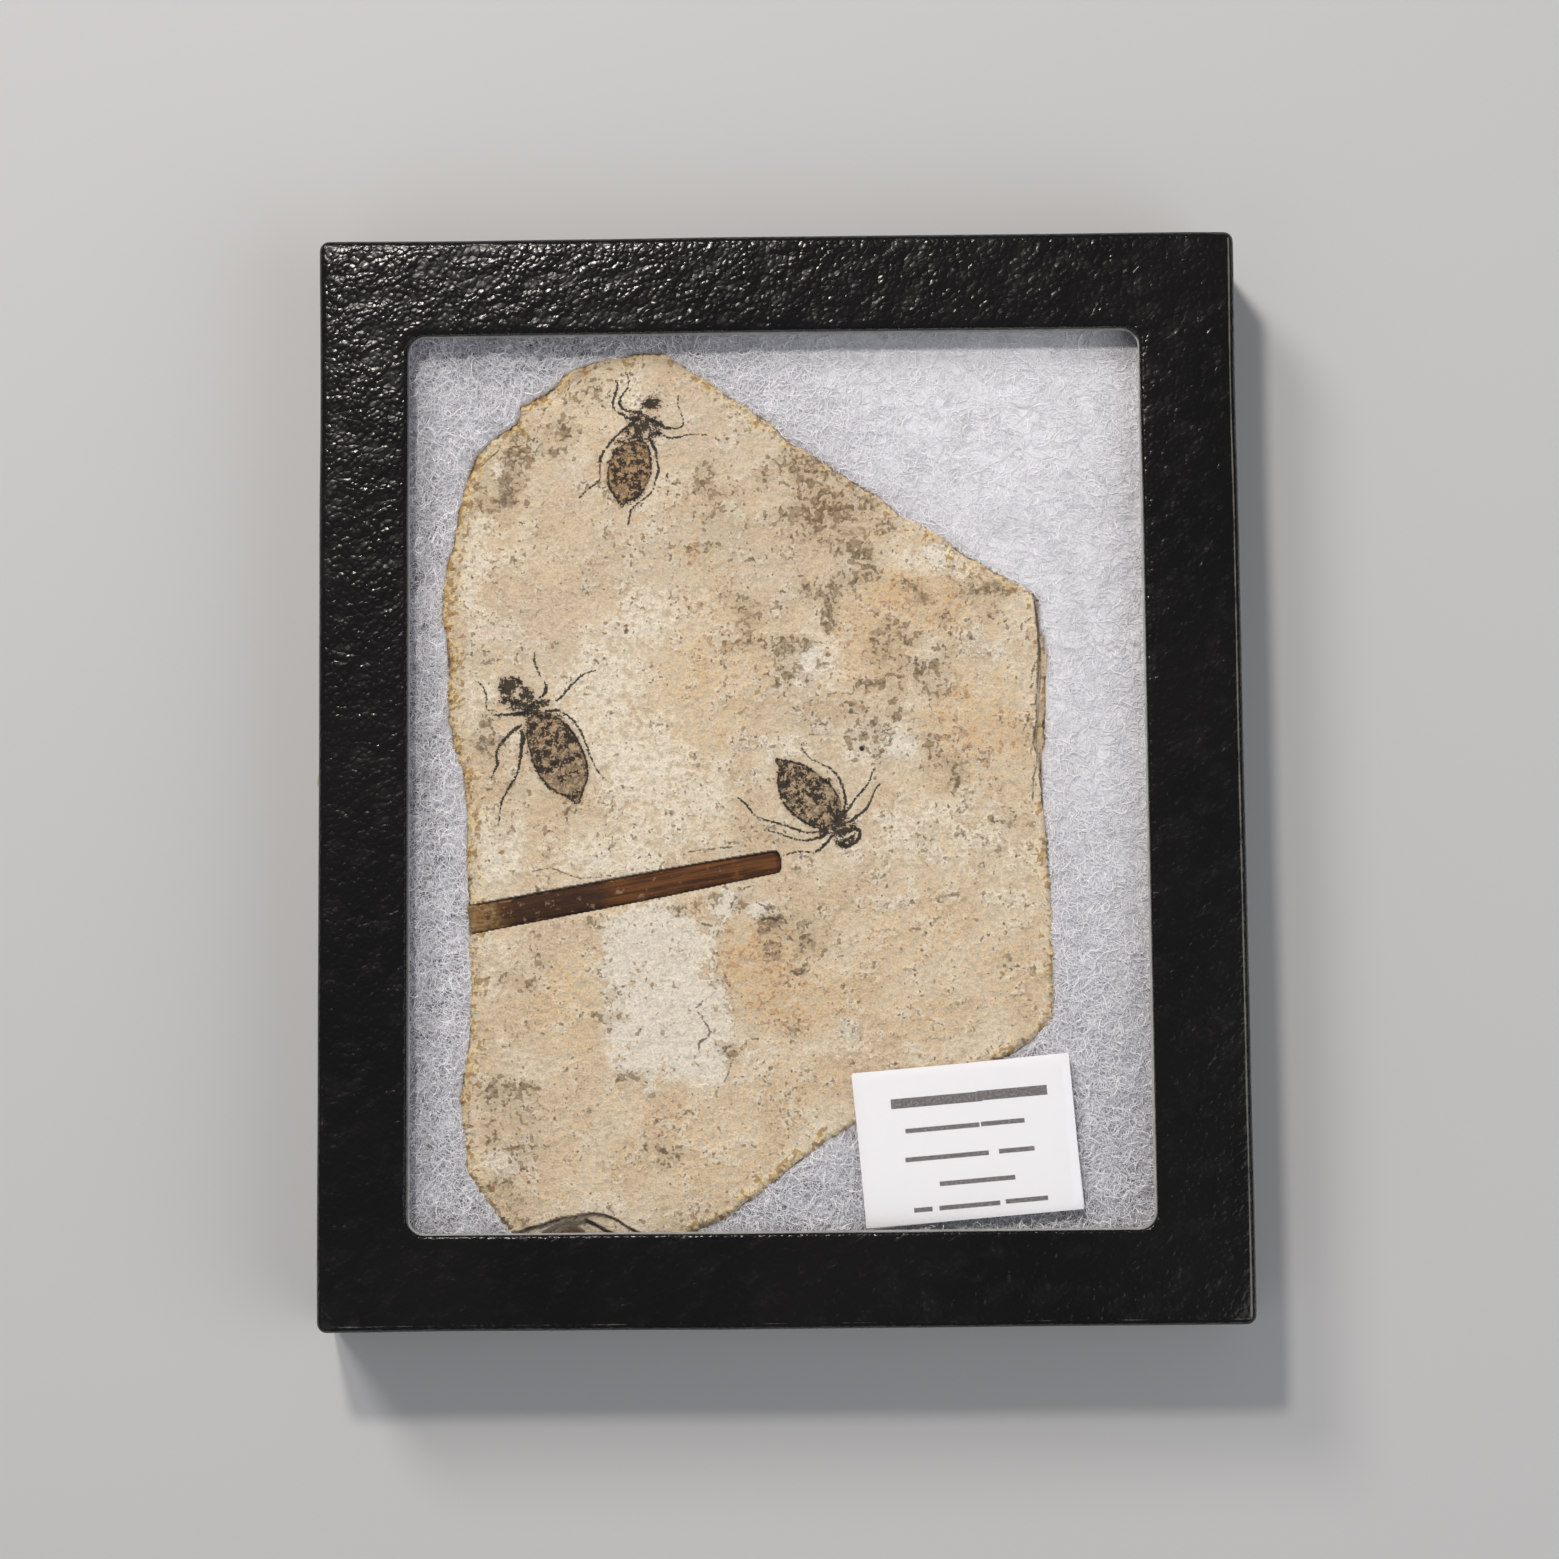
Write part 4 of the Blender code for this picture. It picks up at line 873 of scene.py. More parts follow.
# Stains: ovals of (x, y, half width, half height, strength), and the white patch's outline
stains = {
    "whitePatch": [(614, 920), (640, 906), (668, 908), (678, 913), (690, 925), (702, 926), (719, 925),
                   (718, 940), (708, 958), (705, 975), (716, 985), (725, 998), (734, 1008), (738, 1024),
                   (728, 1038), (730, 1058), (722, 1081), (700, 1083), (684, 1078), (672, 1064),
                   (660, 1060), (655, 1076), (640, 1080), (622, 1074), (610, 1060), (606, 1030), (604, 990),
                   (606, 950)],
    "white": [(725, 905, 14, 14, 0.8), (762, 911, 14, 8, 0.9), (809, 658, 11, 14, 0.9),
              (802, 680, 12, 10, 0.7), (895, 745, 20, 12, 0.9), (940, 555, 22, 14, 0.6),
              (650, 1092, 8, 8, 0.8), (500, 470, 10, 12, 0.6), (905, 700, 8, 8, 0.6),
              (800, 725, 40, 22, 0.35), (760, 750, 30, 30, 0.4), (500, 1165, 16, 14, 0.6),
              (905, 905, 26, 20, 0.4), (590, 860, 22, 12, 0.5), (950, 660, 30, 30, 0.25),
              (850, 1030, 30, 22, 0.4), (700, 700, 40, 22, 0.25), (655, 905, 34, 10, 0.4),
              (985, 655, 22, 26, 0.45)],
    "rust": [(760, 962, 42, 40, 0.75), (792, 1004, 46, 26, 0.65), (736, 950, 20, 26, 0.7),
             (765, 1005, 30, 24, 0.7), (693, 554, 6, 10, 1.0), (905, 592, 30, 18, 0.85),
             (928, 612, 24, 18, 0.7), (950, 602, 14, 24, 0.75), (978, 735, 44, 20, 0.6),
             (1006, 742, 20, 10, 0.85), (960, 694, 12, 8, 0.8), (997, 677, 5, 5, 0.9),
             (932, 722, 24, 12, 0.6), (870, 655, 30, 44, 0.45), (700, 580, 26, 34, 0.45),
             (830, 500, 40, 36, 0.5), (632, 357, 7, 6, 0.9), (586, 373, 5, 4, 0.9), (445, 572, 5, 8, 0.9),
             (630, 430, 16, 12, 0.45), (1020, 588, 10, 6, 0.9), (830, 470, 18, 12, 0.7),
             (925, 540, 14, 8, 0.7), (730, 660, 40, 30, 0.4), (885, 945, 50, 34, 0.3),
             (590, 545, 40, 30, 0.3), (470, 1095, 6, 20, 0.6), (575, 1162, 7, 12, 0.5),
             (660, 1110, 26, 12, 0.5), (560, 800, 40, 22, 0.35), (700, 908, 18, 12, 0.7),
             (990, 770, 24, 12, 0.5)],
    "dark": [(515, 437, 9, 6, 0.9), (519, 460, 12, 12, 0.75), (511, 485, 8, 13, 0.95),
             (495, 503, 20, 6, 1.0), (483, 497, 5, 9, 0.7), (461, 515, 6, 4, 1.0), (560, 432, 20, 12, 0.5),
             (588, 388, 20, 13, 0.55), (655, 384, 11, 5, 0.5), (545, 455, 9, 8, 0.5),
             (706, 468, 8, 9, 0.85), (704, 484, 8, 6, 0.85), (720, 493, 13, 4, 0.75),
             (762, 482, 7, 9, 0.85), (775, 473, 8, 3, 0.7), (795, 465, 16, 9, 0.95),
             (816, 474, 15, 11, 0.9), (790, 515, 13, 7, 1.0), (806, 520, 14, 6, 0.85),
             (830, 505, 22, 14, 0.6), (850, 512, 16, 9, 0.75), (872, 503, 12, 6, 0.75),
             (885, 527, 13, 8, 0.85), (832, 535, 26, 12, 0.55), (866, 552, 8, 12, 0.75),
             (870, 572, 8, 10, 0.75), (814, 588, 10, 8, 0.9), (845, 586, 18, 8, 0.85),
             (832, 604, 6, 14, 0.85), (829, 625, 5, 6, 0.9), (788, 650, 10, 12, 1.0),
             (796, 642, 15, 4, 0.95), (790, 672, 10, 8, 0.7), (806, 679, 4, 4, 1.0),
             (745, 613, 10, 12, 0.75), (756, 625, 7, 4, 0.9), (727, 604, 8, 9, 0.6), (712, 547, 7, 5, 0.8),
             (710, 505, 8, 14, 0.6), (775, 546, 4, 5, 0.8), (752, 644, 14, 5, 0.6), (875, 636, 4, 7, 1.0),
             (894, 629, 10, 7, 0.85), (908, 640, 12, 6, 1.0), (884, 655, 13, 10, 0.9),
             (890, 670, 10, 10, 0.95), (896, 693, 7, 11, 0.95), (872, 686, 14, 5, 0.85),
             (930, 668, 16, 7, 0.95), (927, 680, 14, 10, 0.6), (947, 652, 8, 12, 0.6),
             (938, 692, 7, 7, 0.85), (922, 601, 6, 4, 1.0), (912, 586, 14, 4, 0.8), (945, 617, 6, 9, 0.7),
             (940, 762, 10, 7, 1.0), (955, 770, 7, 8, 0.95), (949, 786, 6, 4, 1.0), (931, 752, 5, 8, 0.95),
             (924, 768, 4, 4, 0.85), (985, 590, 18, 6, 0.85), (1000, 589, 10, 6, 0.95),
             (990, 606, 7, 11, 0.75), (926, 737, 13, 4, 0.75), (865, 737, 14, 10, 0.55),
             (877, 735, 6, 10, 0.7), (894, 708, 6, 9, 0.75), (853, 705, 9, 9, 0.6),
             # the dark oval at (862, 749) sits on the small pit: painted shade
             (862, 749, 2.2, 1.8, 1.6), (885, 762, 12, 8, 0.5), (770, 925, 10, 8, 0.8),
             (790, 945, 20, 12, 0.55), (812, 948, 12, 7, 0.7), (797, 968, 8, 5, 0.7), (769, 956, 4, 4, 0.8),
             (769, 946, 4, 2, 0.9), (740, 906, 5, 7, 0.7), (679, 909, 4, 5, 1.0), (730, 1051, 6, 5, 1.0),
             (715, 897, 5, 3, 0.9), (848, 1062, 8, 3, 0.7), (630, 1077, 12, 5, 0.7), (653, 1095, 8, 4, 0.7),
             (500, 1092, 14, 10, 0.65), (530, 1088, 7, 4, 1.0), (492, 1113, 10, 13, 0.65),
             (490, 1138, 8, 8, 0.7), (497, 1186, 9, 7, 0.95), (514, 1206, 10, 8, 0.75),
             (526, 1216, 5, 12, 0.7), (660, 1145, 10, 5, 0.75), (662, 1163, 5, 10, 0.9),
             (675, 1155, 8, 4, 0.9), (690, 1155, 5, 3, 0.8), (515, 1135, 16, 20, 0.35),
             (575, 1108, 16, 7, 0.45), (484, 746, 11, 8, 0.85), (487, 718, 8, 10, 0.6),
             (480, 663, 9, 13, 0.55), (512, 793, 22, 10, 0.5), (550, 806, 20, 14, 0.4),
             (507, 820, 7, 9, 0.6), (556, 645, 4, 4, 0.9), (512, 976, 12, 7, 0.75), (525, 986, 8, 5, 0.8),
             (540, 960, 8, 10, 0.5), (500, 830, 6, 14, 0.6), (757, 804, 9, 7, 0.55),
             (742, 830, 14, 14, 0.4), (760, 835, 18, 8, 0.35), (589, 921, 4, 3, 1.0),
             (605, 1010, 8, 16, 0.4), (985, 860, 12, 8, 0.4), (930, 835, 14, 8, 0.35),
             (1000, 960, 12, 10, 0.35), (1010, 820, 10, 8, 0.4)],
}

# Broad zones of colour on the face, as ovals like the stains
zones = {
    "warm": [(905, 592, 40, 26, 0.9), (862, 650, 46, 44, 0.75), (935, 620, 26, 20, 0.7),
             (700, 680, 55, 48, 0.6), (735, 630, 34, 34, 0.5), (970, 722, 44, 32, 0.8),
             (1000, 690, 20, 24, 0.55), (760, 962, 42, 34, 0.85), (820, 1000, 66, 34, 0.65),
             (915, 925, 44, 40, 0.65), (1000, 965, 36, 46, 0.55), (905, 1015, 56, 28, 0.5),
             (570, 1005, 36, 54, 0.7), (640, 1108, 76, 22, 0.45), (835, 1075, 16, 18, 0.7),
             (560, 1190, 44, 20, 0.4), (565, 800, 28, 20, 0.5), (690, 735, 54, 20, 0.6),
             (800, 1085, 44, 30, 0.5), (700, 1150, 70, 36, 0.6), (580, 425, 30, 26, 0.4)],
    "pale": [(472, 570, 12, 60, 0.6), (640, 620, 30, 34, 0.6), (480, 690, 14, 60, 0.5),
             (602, 690, 32, 50, 0.75), (640, 765, 44, 54, 0.75), (692, 805, 54, 44, 0.6),
             (610, 855, 60, 18, 0.6), (500, 845, 24, 34, 0.75), (810, 662, 28, 24, 0.8),
             (872, 742, 38, 20, 0.7), (935, 562, 36, 16, 0.65), (945, 645, 34, 26, 0.4),
             (925, 835, 70, 36, 0.5), (850, 1042, 28, 26, 0.5), (495, 965, 22, 34, 0.5),
             (1000, 860, 34, 40, 0.45), (480, 540, 12, 30, 0.6), (630, 395, 30, 16, 0.6),
             (790, 760, 30, 30, 0.4)],
    "grey": [(830, 500, 44, 44, 0.75), (850, 545, 34, 34, 0.65), (800, 705, 54, 34, 0.55),
             (862, 725, 40, 30, 0.6), (725, 800, 36, 30, 0.4), (785, 935, 44, 26, 0.65),
             (740, 900, 26, 12, 0.5), (762, 835, 40, 22, 0.45), (522, 1130, 20, 36, 0.65),
             (505, 1085, 14, 30, 0.5), (562, 540, 34, 44, 0.4), (500, 480, 26, 34, 0.7),
             (545, 440, 30, 20, 0.5), (480, 740, 16, 26, 0.5), (715, 480, 22, 26, 0.45),
             # The grey oval at (725, 540), over the upper middle, is painted shade
             (815, 590, 30, 20, 0.5), (725, 540, 50, 34, 0.6), (600, 560, 30, 30, 0.45)],
    "pink": [(705, 425, 50, 46, 0.8), (640, 555, 60, 44, 0.7), (540, 620, 50, 46, 0.7),
             (765, 570, 44, 44, 0.7), (565, 490, 34, 34, 0.6), (560, 935, 40, 26, 0.5),
             (600, 660, 70, 60, 0.5), (760, 470, 50, 50, 0.5), (880, 880, 40, 24, 0.4),
             (630, 900, 30, 10, 0.5), (470, 625, 14, 34, 0.5)],
}

platePlan = {
    "top": 14.4,
    "cell": 0.665,
    "roughEdge": 0.62,
    "beds": (11.9, 11.5, 11.0, 10.6, 9.9, 9.5, 8.8, 8.2, 7.5),
    # Chips along the edge: reach, fall, and the size and strength of their wobble, in millimetres
    "chips": ((0.5, 0.42, 1.8, 0.8), (1.2, 0.40, 2.6, 1.5), (2.3, 0.30, 4.0, 2.6), (3.6, 0.2, 7.0, 3.6)),
    "grain": 0.0006,
    "cream": (0.685, 0.575, 0.442),
    "tan": (0.62, 0.485, 0.345),
    "pink": (0.60, 0.49, 0.385),
    "pale": (0.78, 0.71, 0.60),
    "ochre": (0.62, 0.43, 0.19),
    "white": (0.745, 0.685, 0.60),
    "rust": (0.60, 0.405, 0.225),
    "rustDeep": (0.36, 0.16, 0.065),
    "brown": (0.215, 0.138, 0.072),
    "greyBrown": (0.28, 0.21, 0.14),
    "warm": (0.66, 0.485, 0.30),
    "grey": (0.49, 0.395, 0.285),
    "green": (0.54, 0.44, 0.30),
    "veil": (0.46, 0.355, 0.24),
    "deep": (0.07, 0.048, 0.031),
    "sooty": (0.11, 0.073, 0.042),
    # a small pit, painted near black as painted shade inside it
    "shadedPit": (862, 749, 2.5),
    "rind": (0.735, 0.60, 0.355),
    "crust": (0.33, 0.18, 0.07),
    "halo": (0.33, 0.225, 0.13),
    "film": (0.006, 0.004, 0.003),
    "filmWorn": (0.034, 0.021, 0.013),
    "bellyWarm": (0.37, 0.225, 0.11),
    "bellyPale": (0.38, 0.28, 0.175),
    # Outline in millimetres, clockwise from the tip at its head
    "outline": [
        (-20.5, 66.1), (-17.5, 66.0), (-14.0, 63.5), (-10.0, 60.9), (-5.5, 57.7), (-1.0, 54.9), (1.6, 51.9),
        (5.0, 50.0), (10.0, 46.6), (16.0, 42.7), (18.6, 40.3), (25.4, 36.5), (28.5, 34.0), (36.0, 29.5),
        (39.8, 27.2), (40.0, 23.0), (41.2, 18.5), (41.0, 12.0), (40.5, 5.0), (39.7, -2.6), (40.5, -10.8),
        (40.9, -21.0), (40.5, -25.5), (41.1, -32.1), (40.3, -37.3), (37.5, -40.5), (35.2, -42.2),
        (30.3, -44.4), (22.0, -47.6), (14.4, -51.0), (8.3, -53.9), (2.3, -58.3), (-4.4, -63.2),
        (-7.0, -65.6), (-13.3, -68.5), (-16.5, -71.0), (-20.0, -72.6), (-27.0, -72.2), (-33.5, -72.6),
        (-39.0, -71.0), (-42.4, -67.4), (-46.2, -61.9), (-48.1, -59.0), (-48.2, -54.2), (-49.2, -48.4),
        (-47.8, -40.5), (-47.3, -31.7), (-47.8, -19.2), (-48.2, -6.0), (-48.6, 0.9), (-50.2, 5.2),
        (-50.9, 9.4), (-50.8, 16.3), (-51.8, 25.6), (-51.5, 32.0), (-50.2, 36.5), (-49.2, 42.5),
        (-47.6, 48.4), (-46.7, 50.7), (-44.3, 52.9), (-40.5, 55.5), (-40.0, 58.0), (-34.5, 61.2),
        (-32.5, 63.5), (-28.3, 64.9), (-23.0, 65.5),
    ],
}

reedPlan = {
    "start": (-47.5, -21.25),
    "end": (-0.2, -12.75),
    "widths": (4.2, 4.0, 3.2),
    "crown": 14.1,
    "thick": 1.75,
    "gap": 0.09,
    "along": 170,
    "around": 44,
    "dark": (0.05, 0.017, 0.004),
    "brown": (0.15, 0.055, 0.013),
    "light": (0.24, 0.092, 0.02),
    "streak": (0.026, 0.011, 0.005),
    "black": (0.024, 0.010, 0.005),
    "pale": (0.27, 0.175, 0.075),
    "endGrey": (0.12, 0.085, 0.045),
    "dust": (0.44, 0.29, 0.17),
    "crust": (0.38, 0.23, 0.11),
}


def roughOutline():
    # The outline with small breaks between its points, and the way out of the plate at each
    corners = np.array(platePlan["outline"])
    found = []
    for here, there in zip(corners, np.roll(corners, -1, 0)):
        count = max(2, round(np.hypot(*(there - here)) / 0.4))
        found += [here + (there - here) * i / count for i in range(count)]
    found = np.array(found)
    along = np.roll(found, -1, 0) - np.roll(found, 1, 0)
    out = np.stack([-along[:, 1], along[:, 0]], 1)
    out /= np.hypot(*out.T)[:, None]
    rough = hills(found[:, 0], found[:, 1], 3.8, 4, seed=11) * platePlan["roughEdge"]
    return found + out * (rough - 0.08)[:, None]


def reedSpot(spots):
    # How far along the reed and to its side each spot is, and the reed's length, in millimetres
    start, end = np.array(reedPlan["start"]), np.array(reedPlan["end"])
    along = end - start
    length = np.hypot(*along)
    along /= length
    away = spots - start
    return away @ along, away @ np.array([-along[1], along[0]]), length


def reedHalfWidth(way, length):
    # Half the reed's width; its right end is rounded
    wide, middle, narrow = reedPlan["widths"]
    share = np.clip(way / length, 0, 1)
    first = wide + (middle - wide) * share / 0.5
    second = middle + (narrow - middle) * np.clip((share - 0.5) / 0.5, 0, 1) ** 1.5
    past = np.clip((way - length + 1.3) / 1.3, 0, 1)
    return np.where(share < 0.5, first, second) / 2 * (1 - past**3.2) ** 0.55


def grooveDepth(spots):
    # How deep inside the reed's groove each spot lies
    way, side, length = reedSpot(spots)
    gap = reedPlan["gap"]
    half = reedHalfWidth(way * length / (length + gap), length) + gap
    return np.where(way < length + gap, half - abs(side), -np.hypot(way - length - gap, side))


def buildPlate():
    plan = platePlan
    outline = roughOutline()
    cell = plan["cell"]
    low, high = outline.min(0) - cell, outline.max(0) + cell
    count = np.ceil((high - low) / cell).astype(int)
    middle = (low + high) / 2

    # A grid is laid, and what lies outside the outline is cut away
    deselectAll()
    bpy.ops.mesh.primitive_grid_add(
        x_subdivisions=int(count[0]), y_subdivisions=int(count[1]), size=1, location=(0, 0, 0)
    )
    piece = bpy.context.object
    spots = cornersOf(piece)
    spots[:, :2] = spots[:, :2] * mm * count * cell + middle
    spots[:, 2] = plan["top"]
    moveCorners(piece, spots)
    depth = shapeDepth(spots[:, :2], outline)
    mesh = openMesh(piece)
    for corner, inside in zip(mesh.verts, depth > 0.12):
        corner.select_set(not inside)
    mesh.select_flush(True)
    bpy.ops.mesh.delete(type="VERT")
    bpy.ops.object.mode_set(mode="OBJECT")

    # Strokes, shapes and steps that need a finer mesh
    strokes = [onPlate(stroke) for larva in larvae.values() for stroke in larva["strokes"]]
    strokes += [onPlate(stroke) for stroke in cracks]
    ovals = np.concatenate([onPlate(larva["spots"]) for larva in larvae.values()])
    bellies = [onPlate(larva["belly"]) for larva in larvae.values()]
    steps = [onPlate(shape) for shape, _, _ in brokenBeds]

    def nearDrawing(spots):
        near = np.full(len(spots), -9.0)
        for stroke in strokes:
            near = np.maximum(near, strokeDepth(spots, stroke))
        for belly in bellies:
            near = np.maximum(near, shapeDepth(spots, belly))
        for x, y, across, tall in ovals:
            near = np.maximum(near, max(across, tall) - np.hypot(spots[:, 0] - x, spots[:, 1] - y))
        for step in steps:
            near = np.maximum(near, -abs(shapeDepth(spots, step)) + 0.05)
        near = np.maximum(near, -abs(grooveDepth(spots)) + 0.1)
        return near

    def refine(wanted, cuts):
        spots = cornersOf(piece)[:, :2]
        chosen = wanted(spots)
        mesh = openMesh(piece, "FACE")
        for face in mesh.faces:
            face.select_set(any(chosen[corner.index] for corner in face.verts))
        bmesh.update_edit_mesh(piece.data)
        bpy.ops.mesh.subdivide(number_cuts=cuts, quadcorner="INNERVERT")
        bpy.ops.object.mode_set(mode="OBJECT")

    refine(lambda spots: (nearDrawing(spots) > -0.5) | (shapeDepth(spots, outline) < 3.0), 1)
    refine(lambda spots: (nearDrawing(spots) > -0.3) | (shapeDepth(spots, outline) < 0.7), 1)
    print("plate's face has", len(piece.data.polygons), "faces")

    # The edge is drawn out to the outline, then extruded down bed by bed and closed underneath
    mesh = openMesh(piece)
    rimCorners = [corner for corner in mesh.verts if corner.is_boundary]
    line = np.concatenate([outline, outline[:1]])
    for corner in rimCorners:
        here = np.array(corner.co[:2]) / mm
        along = line[1:] - line[:-1]
        share = np.clip(((here - line[:-1]) * along).sum(1) / (along**2).sum(1), 0, 1)
        foot = line[:-1] + along * share[:, None]
        nearest = foot[np.argmin(((foot - here) ** 2).sum(1))]
        corner.co = (nearest[0] * mm, nearest[1] * mm, corner.co.z)
    bmesh.update_edit_mesh(piece.data)
    bpy.ops.mesh.select_mode(type="EDGE")
    bpy.ops.mesh.select_all(action="DESELECT")
    mesh = bmesh.from_edit_mesh(piece.data)
    for edge in mesh.edges:
        edge.select_set(edge.is_boundary)
    bmesh.update_edit_mesh(piece.data)
    for height in plan["beds"]:
        bpy.ops.mesh.extrude_edges_move()
        mesh = bmesh.from_edit_mesh(piece.data)
        for corner in mesh.verts:
            if corner.select:
                corner.co.z = height * mm
        bmesh.update_edit_mesh(piece.data)
    bpy.ops.mesh.edge_face_add()
    bpy.ops.mesh.select_all(action="SELECT")
    bpy.ops.mesh.remove_doubles(threshold=0.000002)
    closeMesh()

    # The face's relief, and the beds' uneven edges
    spots = cornersOf(piece)
    flat = spots[:, :2].copy()
    x, y = flat.T
    face = spots[:, 2] > 12.5
    depth = np.maximum(shapeDepth(flat, outline), 0)
    left = ease(-x, 18, 46) * ease(depth, 9, 0.5) * (0.35 + 0.65 * ease(y, -20, 15))
    drop = 0.6 * (1 - ease(depth, 0, 0.3 + 0.2 * hills(x, y, 5, 2, seed=21)))
    for i, (reach, fall, size, wobble) in enumerate(plan["chips"]):
        at = reach * (0.3 + 0.9 * left) + wobble * (0.45 + left) * hills(x, y, size, 4, seed=81 + i) - 0.3
        drop += fall * (0.5 + 0.6 * left) * (1 - ease(depth, at, at + 0.10))
    relief = 0.16 * hills(x, y, 34, 2, seed=23) + 0.10 * hills(x, y, 6, 4, seed=24)
    relief += 0.05 * hills(x, y, 1.8, 2, seed=29)
    terrace = ease(hills(x, y, 17, 4, seed=25), 0.10, 0.14) + ease(hills(x, y, 11, 4, seed=26), 0.16, 0.19)
    relief -= 0.07 * terrace
    for (shape, fall, soft), step in zip(brokenBeds, steps):
        inside = shapeDepth(flat, step) + 0.06 * hills(x, y, 1.2, 3, seed=27)
        relief -= fall * ease(inside, -soft * 0.4, soft * 0.6)
    groove = grooveDepth(flat)
    rim = 0.16 * ease(groove, -0.8, -0.05) * ease(hills(x, y, 8, 2, seed=28), -0.6, 0.5)
    z = plan["top"] - 0.12 + relief - drop - rim
    z = np.where(groove > -0.02, np.minimum(z, plan["top"] - 2.1), z)
    spots[:, 2] = np.where(face, np.minimum(z, plan["top"] + 0.12), spots[:, 2])

    nearest = np.argmin(((flat[~face][:, None] - outline[None]) ** 2).sum(2), 1)
    along = np.roll(outline, -3, 0) - np.roll(outline, 3, 0)
    out = np.stack([-along[:, 1], along[:, 0]], 1)
    out = (out / np.hypot(*out.T)[:, None])[nearest]
    height = spots[~face, 2]
    tuck = 0.25 + 2.3 * ease(height, plan["beds"][1], plan["beds"][-1]) ** 1.5
    tuck += 0.22 * hills(flat[~face, 0] * 0.3 + height * 3.1, flat[~face, 1] * 0.3, 2.0, 2, seed=31)
    spots[~face, :2] -= out * tuck[:, None]
    moveCorners(piece, spots)

    # What is drawn on the face goes into attributes, as depths that the material turns into crisp edges
    def store(name, *channels):
        made = piece.data.color_attributes.new(name, "FLOAT_COLOR", "POINT")
        values = np.zeros((len(flat), 4))
        for i, channel in enumerate(channels):
            values[:, i] = np.clip(channel, 0, 1) * face
        made.data.foreach_set("color", values.ravel())

    legs = np.full(len(flat), -9.0)
    belly, spot, warm = legs.copy(), legs.copy(), np.zeros(len(flat))
    for larva in larvae.values():
        for stroke in larva["strokes"]:
            legs = np.maximum(legs, strokeDepth(flat, onPlate(stroke)))
        own = shapeDepth(flat, onPlate(larva["belly"]))
        belly = np.maximum(belly, own)
        warm = np.where(own > -1.5, larva["tint"], warm)
        for ox, oy, across, tall in onPlate(larva["spots"]):
            reach = np.hypot((x - ox) / across, (y - oy) / tall)
            spot = np.maximum(spot, (1.12 - reach) * min(across, tall))
    store("film", 0.5 + legs / 0.8, 0.5 + belly / 1.6, 0.5 + spot / 1.6, warm)

    def ovalField(ovals, spread=2.0):
        field = np.zeros(len(flat))
        for ox, oy, across, tall, strength in ovals:
            centre = onPlate([(ox, oy, across, tall)])[0]
            reach = ((x - centre[0]) / centre[2]) ** 2 + ((y - centre[1]) / centre[3]) ** 2
            field = np.maximum(field, strength * (1 - ease(np.sqrt(reach), 0.4, spread)))
        return field

    crack = np.full(len(flat), -9.0)
    for stroke in cracks:
        crack = np.maximum(crack, strokeDepth(flat, onPlate(stroke)))
    white = 0.5 + shapeDepth(flat, onPlate(stains["whitePatch"])) / 6.0
    white = np.maximum(white, ovalField(stains["white"]) * 0.9)
    store("stain", white, ovalField(stains["rust"]), ovalField(stains["dark"], 2.6), 0.5 + crack / 0.8)
    store("rim", 1 - depth / 6.0, left, 0.5 + groove / 3.0)
    store("tone", *[ovalField(zones[name]) for name in ("warm", "pale", "grey", "pink")])
    return piece


